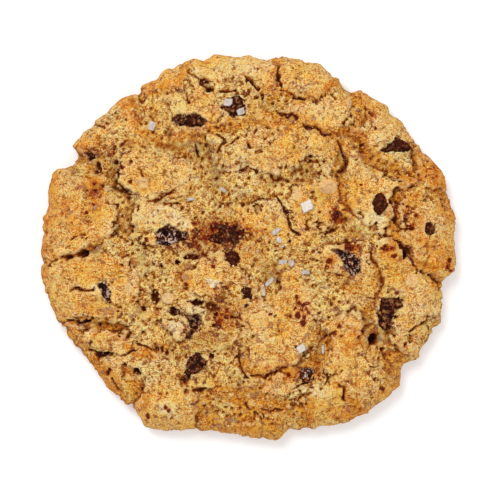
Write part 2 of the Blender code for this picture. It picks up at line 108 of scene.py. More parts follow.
# Plates of crust, each by the points round it; open crumb shows everywhere between them
PLATES = (
    # Along the rim, clockwise from the left
    ((-41.4, 8.0), (-40.6, 16.0), (-36.4, 15.0), (-34.0, 14.4), (-31.0, 14.2), (-28.6, 14.4), (-27.6, 12.2),
     (-27.2, 9.4), (-26.6, 7.0), (-26.6, 4.2), (-27.2, 2.6), (-28.6, 1.8), (-30.4, 0.4), (-33.0, -0.6),
     (-34.6, -1.6), (-37.0, -1.4), (-39.4, -2.6), (-43.0, -1.6), (-43.0, 5.0)),
    ((-36.6, 20.4), (-34.0, 24.4), (-31.0, 24.4), (-31.4, 26.6), (-27.0, 30.4), (-25.2, 31.4),
     (-22.2, 30.6), (-22.4, 28.6), (-23.0, 26.4), (-22.4, 24.4), (-23.2, 22.4), (-24.8, 21.8),
     (-25.2, 20.6), (-26.0, 19.4), (-27.8, 18.8), (-28.6, 20.0), (-31.0, 20.6), (-33.2, 20.2)),
    ((-22.6, 32.0), (-19.2, 34.6), (-17.4, 37.2), (-13.6, 38.0), (-12.2, 35.4), (-12.6, 34.2),
     (-13.6, 33.0), (-13.0, 31.6), (-15.0, 31.4), (-16.0, 32.0), (-18.0, 32.2), (-20.0, 31.4)),
    ((-10.4, 39.0), (4.0, 39.4), (4.6, 36.4), (5.6, 35.6), (5.4, 33.6), (6.0, 32.0), (5.8, 30.6),
     (4.4, 30.2), (3.0, 30.4), (2.8, 32.0), (1.8, 33.0), (0.0, 33.8), (-0.8, 33.2), (-0.6, 32.2),
     (-2.6, 32.0), (-5.2, 31.6), (-6.4, 32.4), (-7.2, 33.8), (-8.6, 33.8), (-10.0, 35.2), (-12.0, 36.4)),
    ((6.6, 36.6), (7.0, 39.0), (15.0, 38.6), (18.4, 34.8), (17.0, 33.6), (16.8, 31.6), (15.6, 31.0),
     (13.6, 31.0), (11.6, 30.8), (10.0, 31.2), (8.4, 31.6), (7.2, 31.6), (6.8, 33.4)),
    ((22.8, 30.6), (23.4, 32.4), (32.0, 27.6), (35.4, 20.6), (33.2, 20.6), (31.4, 21.0), (30.2, 22.0),
     (28.4, 21.6), (26.8, 20.6), (25.2, 20.2), (24.0, 19.8), (22.8, 21.6), (21.0, 22.6), (20.6, 24.4),
     (22.0, 24.6), (24.0, 25.2), (24.8, 27.0), (24.2, 28.6)),
    ((33.6, 18.6), (35.0, 20.4), (41.4, 13.6), (43.0, 5.6), (43.2, -4.0), (40.4, -6.4), (37.4, -6.0),
     (36.4, -5.2), (34.4, -4.8), (33.6, -2.6), (32.4, -0.8), (30.6, 0.4), (30.4, 3.2), (30.2, 6.0),
     (30.4, 9.0), (32.0, 10.4), (33.6, 11.0), (35.4, 12.8), (34.6, 14.6), (33.0, 16.4)),
    ((24.8, 0.2), (27.0, 1.4), (29.2, 1.6), (30.4, -0.4), (32.4, -2.4), (33.4, -4.4), (34.4, -5.8),
     (36.4, -6.2), (38.0, -8.4), (40.2, -9.4), (40.0, -13.0), (37.6, -14.0), (35.4, -15.2), (33.6, -16.4),
     (38.6, -16.8), (36.4, -21.8), (32.2, -22.4), (30.8, -20.6), (30.2, -18.6), (28.4, -16.8),
     (28.8, -15.2), (29.8, -12.6), (31.0, -11.8), (30.6, -10.2), (28.6, -9.6), (27.4, -7.8), (27.2, -5.0),
     (25.6, -2.6), (24.8, -1.2)),
    ((12.4, -29.6), (9.4, -30.2), (7.6, -32.4), (10.0, -31.6), (12.0, -32.4), (12.6, -34.4), (13.0, -37.4),
     (20.8, -36.4), (21.4, -33.8), (24.6, -34.2), (32.0, -27.0), (28.0, -26.4), (27.4, -25.2),
     (25.6, -23.6), (23.4, -22.8), (22.0, -20.2), (22.2, -17.4), (23.4, -14.0), (22.0, -12.4),
     (19.6, -13.6), (17.8, -13.8), (16.6, -16.0), (17.2, -18.8), (17.0, -21.4), (15.6, -23.2),
     (14.2, -25.2), (13.8, -27.2)),
    ((-4.4, -35.2), (-1.0, -34.8), (2.4, -35.2), (2.4, -39.4), (-4.2, -39.0)),
    ((-21.6, -37.0), (-24.0, -33.0), (-23.2, -32.0), (-21.6, -31.2), (-20.8, -29.4), (-21.2, -26.8),
     (-22.2, -25.4), (-23.6, -24.2), (-25.8, -24.0), (-25.6, -27.6), (-26.4, -30.6), (-32.4, -24.4),
     (-29.8, -23.0), (-27.0, -22.0), (-25.0, -22.4), (-22.4, -22.2), (-20.8, -21.4), (-18.2, -21.4),
     (-17.2, -22.8), (-15.0, -23.0), (-14.0, -24.6), (-13.8, -27.0), (-12.2, -28.8), (-10.6, -29.4),
     (-9.6, -30.8), (-9.8, -34.0), (-10.4, -38.0)),
    ((-43.0, -3.0), (-38.2, -3.2), (-36.0, -2.8), (-33.6, -2.6), (-31.0, -2.2), (-28.6, -1.6),
     (-26.2, -1.4), (-24.6, -2.0), (-22.6, -4.2), (-21.8, -6.2), (-21.8, -9.0), (-22.8, -10.6),
     (-24.2, -11.4), (-25.4, -13.4), (-27.8, -14.2), (-31.6, -14.2), (-34.6, -14.4), (-39.6, -14.8),
     (-42.4, -7.0)),
    # Inside it, from the top left
    ((-15.6, 30.4), (-14.2, 30.8), (-12.2, 31.0), (-12.4, 30.0), (-11.4, 29.4), (-10.6, 30.0),
     (-10.4, 32.6), (-11.4, 33.2), (-9.8, 33.2), (-8.4, 31.4), (-7.0, 30.6), (-6.6, 29.6), (-5.8, 28.2),
     (-4.8, 27.2), (-3.4, 25.8), (-4.0, 24.6), (-6.0, 24.4), (-8.2, 24.2), (-8.4, 25.4), (-9.6, 26.4),
     (-13.8, 26.2), (-14.8, 25.6), (-15.6, 27.4)),
    ((7.0, 28.0), (8.4, 29.0), (10.4, 29.2), (13.4, 29.6), (15.8, 30.2), (18.0, 30.6), (19.8, 29.6),
     (20.4, 28.0), (20.2, 26.2), (19.6, 24.6), (17.6, 23.4), (15.2, 23.8), (13.4, 24.4), (12.4, 25.6),
     (10.2, 26.2), (8.2, 27.0)),
    ((-24.8, 17.4), (-22.8, 18.6), (-19.4, 18.2), (-17.2, 18.6), (-16.4, 17.2), (-14.6, 17.4),
     (-12.4, 17.2), (-11.4, 15.6), (-11.2, 13.4), (-10.4, 12.0), (-12.8, 10.4), (-15.2, 10.2),
     (-17.0, 10.6), (-20.0, 9.8), (-21.8, 10.6), (-23.8, 11.2), (-25.2, 12.2), (-25.4, 14.8)),
    ((-6.2, 19.8), (-5.2, 20.6), (-3.8, 20.6), (-2.4, 22.0), (0.0, 22.6), (1.2, 24.2), (3.0, 24.6),
     (6.0, 24.8), (9.0, 25.2), (11.0, 24.4), (13.0, 23.2), (15.6, 22.6), (17.6, 21.6), (17.8, 19.4),
     (16.8, 17.6), (15.0, 17.6), (12.8, 17.8), (10.2, 17.6), (9.4, 16.4), (7.2, 16.6), (6.0, 16.0),
     (5.2, 14.8), (3.2, 15.0), (1.4, 15.6), (-0.2, 16.0), (-1.8, 15.4), (-3.6, 15.6), (-5.0, 16.8),
     (-6.2, 18.2)),
    ((-8.4, 20.6), (-8.0, 22.0), (-6.4, 22.4), (-5.4, 21.6), (-6.0, 20.6)),
    ((13.2, 13.0), (14.4, 15.8), (15.8, 16.2), (16.8, 14.4), (17.6, 12.6), (15.2, 12.4)),
    ((19.8, 20.8), (21.8, 20.4), (23.4, 18.4), (24.6, 16.8), (27.0, 15.4), (31.0, 14.6), (33.6, 13.8),
     (34.0, 12.2), (31.6, 11.8), (29.2, 11.4), (28.6, 9.0), (28.4, 5.6), (27.6, 3.4), (25.6, 2.6),
     (23.6, 4.2), (22.4, 6.6), (20.6, 8.2), (19.6, 10.6), (20.0, 14.0), (20.6, 17.0)),
    ((7.8, 9.4), (8.8, 11.4), (10.6, 12.4), (13.0, 12.8), (15.4, 12.6), (17.8, 11.8), (18.2, 9.4),
     (19.2, 7.8), (18.2, 6.0), (16.6, 4.4), (14.6, 3.2), (12.6, 1.0), (10.6, -0.2), (8.8, 0.8), (9.6, 3.2),
     (9.0, 5.6)),
    ((-3.8, 8.0), (-2.0, 8.6), (0.4, 8.2), (2.8, 9.2), (4.2, 10.4), (5.8, 9.8), (6.8, 7.8), (7.8, 5.4),
     (8.6, 3.4), (7.8, 0.6), (5.6, -0.4), (3.4, 0.6), (2.6, 2.4), (0.8, 3.0), (-1.2, 4.0), (-2.6, 5.6)),
    ((-22.6, 7.2), (-21.0, 8.6), (-18.6, 8.4), (-15.6, 8.0), (-13.2, 6.4), (-11.4, 5.2), (-10.4, 3.6),
     (-11.6, 2.6), (-12.4, 0.8), (-15.0, -0.4), (-17.6, -1.2), (-19.6, -0.4), (-21.0, 1.8), (-22.2, 3.6),
     (-22.8, 5.6)),
    ((12.6, -1.4), (15.0, -0.2), (17.0, 0.6), (20.0, 0.8), (23.4, 0.4), (24.4, -1.4), (24.4, -3.6),
     (25.4, -5.6), (25.8, -8.6), (24.6, -9.8), (22.8, -9.0), (22.0, -6.4), (19.0, -5.4), (15.6, -5.4),
     (14.2, -3.6)),
    ((-12.6, -3.6), (-10.0, -2.8), (-8.0, -0.8), (-6.0, -0.4), (-4.8, -2.0), (-3.6, -4.0), (-1.0, -4.4),
     (0.2, -6.4), (0.0, -7.4), (-2.2, -8.0), (-4.6, -7.4), (-5.6, -9.0), (-8.0, -9.8), (-11.4, -9.6),
     (-12.8, -7.4), (-13.0, -5.2)),
    ((1.4, -9.8), (3.4, -10.0), (5.6, -9.6), (6.6, -8.6), (6.4, -5.6), (8.0, -4.6), (10.4, -6.2),
     (12.4, -7.0), (13.4, -9.0), (12.8, -11.8), (12.6, -15.6), (12.4, -17.0), (13.4, -18.2), (11.6, -21.0),
     (10.6, -23.6), (8.4, -23.8), (6.4, -23.6), (4.2, -24.4), (2.4, -24.2), (0.8, -22.0), (-0.2, -20.0),
     (0.0, -17.6), (-1.6, -15.6), (-2.0, -12.6), (-0.2, -12.2), (1.0, -11.2)),
    ((2.0, -28.4), (3.2, -26.6), (5.2, -25.4), (7.4, -24.8), (9.6, -26.6), (9.6, -28.0), (7.4, -29.4),
     (5.0, -29.6), (2.8, -29.6)),
    ((-14.4, -10.0), (-12.0, -11.0), (-9.8, -11.6), (-8.2, -12.6), (-7.6, -13.6), (-9.4, -13.2),
     (-11.6, -13.2), (-14.0, -12.2)),
    ((-15.4, -13.8), (-12.6, -14.8), (-12.0, -16.6), (-12.8, -18.6), (-14.4, -19.2), (-15.0, -17.4),
     (-16.6, -16.4), (-18.4, -15.4), (-17.0, -14.2)),
    ((-12.4, -26.8), (-10.0, -25.4), (-8.0, -25.0), (-6.6, -26.4), (-7.0, -28.0), (-9.4, -28.6),
     (-11.6, -28.2)),
    ((-33.6, -16.8), (-30.0, -16.8), (-27.2, -17.4), (-25.2, -18.0), (-23.4, -18.8), (-23.2, -20.4),
     (-25.4, -21.4), (-27.8, -20.8), (-30.6, -20.4), (-32.4, -19.4)),
)

# Valleys in the open crumb: depth, then x, y and half-width along each stretch
CRUMB = (
    (1.6, ((-35.0, 19.0, 1.2), (-32.0, 17.6, 1.9), (-29.0, 16.8, 1.9), (-26.4, 15.2, 2.0),
     (-25.2, 11.4, 1.9), (-24.6, 7.4, 2.3), (-25.0, 2.8, 2.4), (-24.0, -1.6, 2.2))),
    (0.9, ((-24.0, 1.6, 2.6), (-20.0, -1.2, 3.2), (-18.4, -4.0, 2.4))),
    (0.9, ((-19.6, -2.6, 1.8), (-14.0, -3.2, 2.2), (-9.8, -4.2, 1.6))),
    (1.2, ((-18.0, 20.8, 0.9), (-15.0, 19.8, 1.1), (-12.4, 19.0, 1.1), (-9.6, 18.6, 1.4))),
    (1.3, ((-9.6, 21.2, 1.2), (-8.6, 17.8, 1.9), (-7.4, 14.0, 1.7), (-5.0, 11.6, 1.2), (-4.6, 8.6, 0.9))),
    (0.9, ((2.8, 13.0, 1.6), (6.8, 12.6, 2.4), (10.8, 14.0, 2.3), (12.2, 16.6, 1.2))),
    (0.7, ((-1.4, 9.8, 1.1), (2.4, 9.4, 1.2))),
    (0.9, ((13.6, 4.6, 1.4), (17.6, 3.0, 2.2), (22.0, 2.2, 2.6), (26.4, 3.0, 2.3), (30.0, 4.6, 1.2))),
    (0.8, ((2.6, -3.2, 1.4), (6.2, -6.0, 2.6), (9.4, -9.6, 1.7))),
    (0.8, ((13.0, -6.4, 1.6), (17.6, -9.4, 2.6), (22.4, -12.0, 2.8), (25.0, -15.6, 1.8))),
    (1.4, ((22.8, -16.2, 1.4), (26.0, -18.4, 2.3), (29.0, -21.2, 2.2))),
    (1.0, ((-9.2, -29.0, 1.4), (-7.2, -33.4, 2.6), (-2.0, -31.6, 3.2), (3.6, -32.8, 3.0), (8.8, -34.0, 2.4),
     (11.6, -31.0, 1.4))),
    (1.5, ((-37.4, -16.4, 1.0), (-33.0, -15.4, 1.0), (-28.8, -15.8, 1.0), (-25.2, -17.0, 0.9))),
    (1.4, ((-35.4, -19.4, 1.2), (-32.0, -21.0, 1.6), (-28.4, -21.6, 1.2))),
    (0.9, ((-20.6, -11.4, 1.5), (-17.4, -14.2, 2.6), (-15.6, -17.6, 3.0), (-12.0, -19.6, 2.2),
     (-10.4, -15.6, 1.6))),
    (1.3, ((-24.4, -24.4, 1.2), (-22.6, -27.4, 1.8), (-21.8, -31.0, 1.4))),
    (1.3, ((15.8, -18.0, 1.3), (13.6, -21.0, 1.7), (11.6, -24.0, 1.5))),
    (1.0, ((-20.6, 30.6, 1.4), (-18.8, 27.6, 2.1), (-18.4, 24.0, 2.1), (-17.0, 21.8, 1.2))),
    (0.7, ((21.2, 30.0, 1.0), (23.8, 28.8, 1.1))), (0.6, ((21.4, 26.6, 0.9), (23.6, 24.8, 0.9))),
    (0.9, ((33.4, 17.8, 0.9), (36.4, 15.0, 1.6), (38.4, 11.6, 1.3))),
    (1.0, ((30.2, 11.4, 1.2), (30.4, 7.6, 1.4), (31.2, 3.6, 1.2))),
    (0.7, ((18.8, -32.0, 1.1), (22.4, -33.0, 1.1))), (0.8, ((30.0, -23.6, 1.2), (28.2, -26.4, 1.5))),
    (0.8, ((34.8, -14.4, 0.9), (38.0, -15.4, 0.9))), (0.8, ((36.8, -6.0, 0.9), (38.4, -8.4, 0.9))),
    (1.1, ((-9.6, 2.4, 1.2), (-6.4, 2.8, 2.0), (-3.0, 2.4, 2.2), (0.2, 0.0, 1.7), (-3.6, -2.4, 1.7))),
    (0.8, ((-6.4, -13.4, 1.5), (-4.0, -14.6, 1.5))),
)

# Cracks in the crust: depth, then x, y and half-width along each
CRACKS = (
    (1.6, ((-12.4, 35.2, 0.25), (-10.4, 34.2, 0.3), (-8.8, 33.2, 0.5))),
    (1.8, ((-8.8, 32.6, 0.4), (-7.6, 31.6, 0.6))),
    (1.2, ((-5.6, 31.5, 0.25), (-3.8, 31.3, 0.3), (-2.2, 31.5, 0.25))),
    (1.0, ((-12.4, 30.8, 0.3), (-11.6, 29.2, 0.4))),
    (1.5, ((-0.2, 33.8, 0.25), (1.6, 32.4, 0.4), (2.4, 31.0, 0.4), (2.8, 29.8, 0.3))),
    (1.3, ((5.8, 35.8, 0.3), (5.6, 33.8, 0.45), (6.6, 32.0, 0.3))),
    (1.0, ((6.6, 31.0, 0.25), (8.4, 31.0, 0.35), (9.6, 30.0, 0.35), (11.4, 29.8, 0.25))),
    (1.0, ((5.4, 27.4, 0.3), (7.2, 26.2, 0.4), (8.6, 26.0, 0.4), (10.0, 25.4, 0.3))),
    (1.1, ((11.4, 25.0, 0.3), (12.6, 23.8, 0.4), (14.8, 23.2, 0.4), (17.0, 22.0, 0.3))),
    (0.9, ((18.2, 21.4, 0.3), (18.8, 19.0, 0.4), (19.8, 17.0, 0.5), (18.6, 14.6, 0.5), (17.4, 13.8, 0.4))),
    (0.6, ((18.6, 10.2, 0.3), (19.8, 8.0, 0.4), (20.8, 6.6, 0.4), (22.0, 5.4, 0.3))),
    (0.8, ((29.4, 9.4, 0.3), (29.2, 5.0, 0.35), (30.0, 3.0, 0.3))),
    (1.2, ((29.8, 1.2, 0.3), (31.0, -0.2, 0.5), (32.6, -1.6, 0.5), (33.4, -3.0, 0.3), (34.0, -5.0, 0.25))),
    (0.8, ((24.8, -0.4, 0.25), (24.6, -2.2, 0.3), (25.6, -3.6, 0.35), (26.4, -6.6, 0.35),
     (26.4, -9.0, 0.3))),
    (0.7, ((10.4, 17.2, 0.3), (14.0, 16.8, 0.4))),
    (1.1, ((5.4, 10.0, 0.3), (7.0, 7.8, 0.4), (8.0, 5.8, 0.4), (8.8, 3.8, 0.4), (10.2, 2.6, 0.3))),
    (0.9, ((14.6, 2.4, 0.3), (16.0, 3.2, 0.4), (17.0, 3.4, 0.3))),
    (0.8, ((11.4, 5.2, 0.3), (12.0, 3.4, 0.3))), (0.8, ((-21.6, 15.8, 0.3), (-20.6, 14.2, 0.3))),
    (1.0, ((-25.8, 12.6, 0.4), (-25.4, 11.4, 0.5), (-23.0, 10.4, 0.4), (-22.0, 10.0, 0.3))),
    (0.9, ((-15.0, 12.0, 0.3), (-16.2, 10.6, 0.4), (-18.0, 9.6, 0.4), (-20.0, 9.2, 0.3))),
    (0.8, ((-16.6, 8.8, 0.3), (-15.2, 8.2, 0.3), (-14.0, 8.8, 0.3))),
    (1.0, ((-10.6, 20.2, 0.3), (-9.6, 17.8, 0.4))),
    (0.9, ((-5.6, 22.0, 0.3), (-4.8, 21.0, 0.4), (-6.4, 19.4, 0.3))),
    (0.8, ((-2.4, 21.6, 0.3), (-4.4, 20.2, 0.3))),
    (0.9, ((1.4, 23.4, 0.3), (0.4, 21.8, 0.4), (0.4, 19.4, 0.3))),
    (0.8, ((-1.6, 15.2, 0.3), (-0.2, 15.8, 0.3), (1.6, 15.0, 0.3))),
    (0.8, ((4.4, 13.8, 0.3), (6.4, 13.6, 0.3), (8.6, 13.0, 0.3))),
    (0.8, ((-39.6, -3.6, 0.3), (-37.0, -2.0, 0.4), (-34.6, -1.8, 0.3), (-32.6, -1.0, 0.5),
     (-30.2, 0.0, 0.3), (-28.2, 1.6, 0.3), (-26.6, 2.8, 0.3))),
    (0.7, ((-35.6, 1.4, 0.3), (-33.0, 2.6, 0.3))),
    (0.9, ((-35.2, -9.2, 0.3), (-34.4, -8.6, 0.4), (-30.6, -8.6, 0.3))),
    (1.4, ((-36.0, -15.0, 0.4), (-33.6, -15.2, 0.5), (-32.0, -14.8, 0.4), (-31.2, -14.0, 0.3))),
    (1.3, ((-32.6, -20.6, 0.4), (-30.6, -22.0, 0.5), (-27.6, -21.4, 0.3))),
    (0.9, ((-24.6, -21.4, 0.3), (-22.8, -21.2, 0.3))),
    (1.0, ((-22.2, -19.6, 0.3), (-20.0, -20.2, 0.4), (-18.0, -20.6, 0.3))),
    (0.9, ((-17.2, -19.8, 0.3), (-16.4, -21.6, 0.3))), (1.0, ((-13.6, -26.2, 0.4), (-12.0, -28.2, 0.3))),
    (1.0, ((-12.4, -29.0, 0.3), (-10.2, -29.2, 0.4), (-8.2, -28.6, 0.3))),
    (0.9, ((-28.6, -25.4, 0.3), (-27.6, -24.2, 0.3))), (0.9, ((-27.4, -26.2, 0.3), (-26.2, -28.6, 0.3))),
    (0.9, ((-3.0, -22.6, 0.3), (-1.6, -22.0, 0.4), (-1.2, -24.6, 0.4), (-0.2, -26.2, 0.3))),
    (0.9, ((0.8, -25.6, 0.3), (3.0, -26.4, 0.4), (5.4, -25.0, 0.4), (7.0, -24.0, 0.3))),
    (0.8, ((-0.4, -31.4, 0.3), (0.8, -32.8, 0.3))),
    (0.8, ((3.0, -32.6, 0.3), (4.8, -33.4, 0.4), (6.8, -33.6, 0.3))),
    (0.9, ((14.8, -28.4, 0.3), (15.8, -26.6, 0.4), (15.4, -25.0, 0.3))),
    (0.9, ((18.4, -27.8, 0.3), (19.0, -29.0, 0.4), (19.4, -30.6, 0.3))),
    (1.0, ((32.4, -16.4, 0.3), (34.0, -16.6, 0.4), (36.4, -14.2, 0.3))),
    (1.0, ((36.6, -5.8, 0.3), (38.0, -7.2, 0.4), (38.2, -8.4, 0.3))),
    (0.8, ((-31.2, 24.4, 0.3), (-28.6, 24.0, 0.3))), (0.8, ((-21.8, 29.4, 0.3), (-21.6, 30.8, 0.3))),
    (0.8, ((16.4, 30.8, 0.25), (17.6, 30.2, 0.3))), (0.8, ((24.4, 26.8, 0.25), (25.6, 26.2, 0.3))),
    (0.9, ((9.0, -29.0, 0.3), (10.4, -28.0, 0.4), (11.4, -27.2, 0.3))),
)

# Fine fissures all over: how far apart, their width in shares of that, their depth and their seed
FISSURES = ((5.2, 0.09, 0.5, 37), (2.7, 0.13, 0.35, 39))

# A smooth fold in the crust, with no crumb showing: depth, then x, y and half-width
FOLDS = (
    (1.4, ((19.6, 23.0, 0.9), (22.8, 21.0, 1.4), (24.2, 18.0, 1.3), (25.6, 16.2, 1.2), (29.0, 15.2, 1.2),
     (32.4, 14.4, 0.8))),
)

# Deep holes: x, y, half-width, half-height, depth
HOLES = (
    (-32.2, 18.7, 0.8, 0.7, 2.2), (-30.8, 16.2, 0.8, 1.2, 2.0), (-26.6, 17.2, 0.4, 0.4, 1.5),
    (-8.9, 33.6, 0.9, 0.5, 1.4), (-7.7, 31.6, 0.9, 0.7, 1.6), (-13.8, -3.1, 0.6, 0.5, 1.6),
    (-17.6, -3.6, 0.4, 0.4, 1.3), (-18.7, -9.9, 0.8, 1.4, 1.8), (-21.0, -12.3, 0.4, 0.7, 1.5),
    (-22.7, -25.3, 0.7, 0.7, 2.0), (-36.0, -2.1, 1.0, 0.5, 1.6), (-32.8, -1.4, 1.2, 0.8, 1.8),
    (-11.2, -2.0, 1.6, 0.6, 1.2), (-14.7, -12.8, 0.9, 1.0, 1.6), (-10.1, -11.0, 1.5, 0.6, 1.8),
    (-7.4, -11.9, 1.2, 1.1, 1.0), (-6.6, -13.6, 0.4, 0.4, 1.2), (-6.6, -15.6, 0.4, 0.4, 1.2),
    (-3.0, -14.0, 0.4, 0.4, 1.2), (25.4, -18.7, 1.0, 1.1, 2.4), (31.5, -1.5, 0.7, 0.7, 2.2),
    (27.4, -20.8, 0.5, 0.5, 1.5), (-7.3, -21.6, 0.5, 0.4, 1.2), (-9.0, 6.8, 0.3, 0.3, 1.0),
    (-39.8, -3.8, 0.4, 0.4, 1.2), (-30.0, -15.8, 0.4, 0.4, 1.2),
)

# Smooth pale blisters: x, y, half-width, half-height, height
BLISTERS = (
    (32.8, -6.6, 1.3, 1.3, 0.25), (5.6, 15.0, 1.0, 0.9, 0.25), (9.8, 10.4, 1.0, 1.2, 0.25),
    (16.0, 12.0, 1.9, 1.5, 0.3), (-23.8, -8.2, 0.8, 1.2, 0.2), (-16.0, -10.2, 1.3, 1.2, 0.2),
    (-21.0, 12.8, 1.1, 1.2, 0.25), (20.1, 28.8, 0.6, 1.2, 0.2),
)

# Dough stained by melted chocolate: x, y, half-width, half-height, strength
STAINS = (
    (-4.8, 2.4, 4.4, 2.6, 1.1), (-8.6, 2.4, 3.4, 2.6, 0.6), (-3.4, -1.6, 2.6, 2.0, 0.5),
    (-5.1, -14.2, 2.8, 2.4, 0.7), (17.3, 5.8, 1.2, 1.3, 1.0), (32.3, 3.9, 1.4, 1.0, 1.0),
    (27.8, -0.4, 1.8, 0.7, 0.9), (20.5, 0.2, 1.7, 1.2, 0.9), (-9.6, -17.4, 4.0, 3.4, 0.4),
    (-7.4, -1.2, 4.4, 2.4, 0.4), (-5.0, -9.8, 2.4, 1.8, 0.4), (31.4, 7.6, 1.2, 2.6, 0.5),
    (-30.8, 10.8, 1.8, 1.0, 0.5), (22.4, 25.8, 1.6, 1.4, 0.45), (36.4, 14.6, 2.2, 2.0, 0.35),
    (12.0, -25.6, 3.2, 1.8, 0.6), (-16.0, 1.4, 4.4, 3.4, 0.35), (19.4, -3.0, 4.4, 3.6, 0.35),
    (40.2, -3.8, 0.5, 1.4, 0.8), (27.6, -12.4, 3.4, 4.0, 0.3), (-10.8, -24.2, 4.0, 3.6, 0.35),
    (-28.2, 19.0, 2.4, 1.4, 0.45), (-10.6, 0.8, 3.4, 2.0, 0.7), (-1.0, -19.6, 3.0, 1.8, 0.35),
    (-4.0, -7.6, 1.6, 0.8, 0.6), (-40.6, 0.2, 1.4, 1.6, 0.3), (28.0, -0.4, 1.4, 0.7, 0.7),
    (-31.0, 10.6, 1.3, 0.8, 0.8),
)

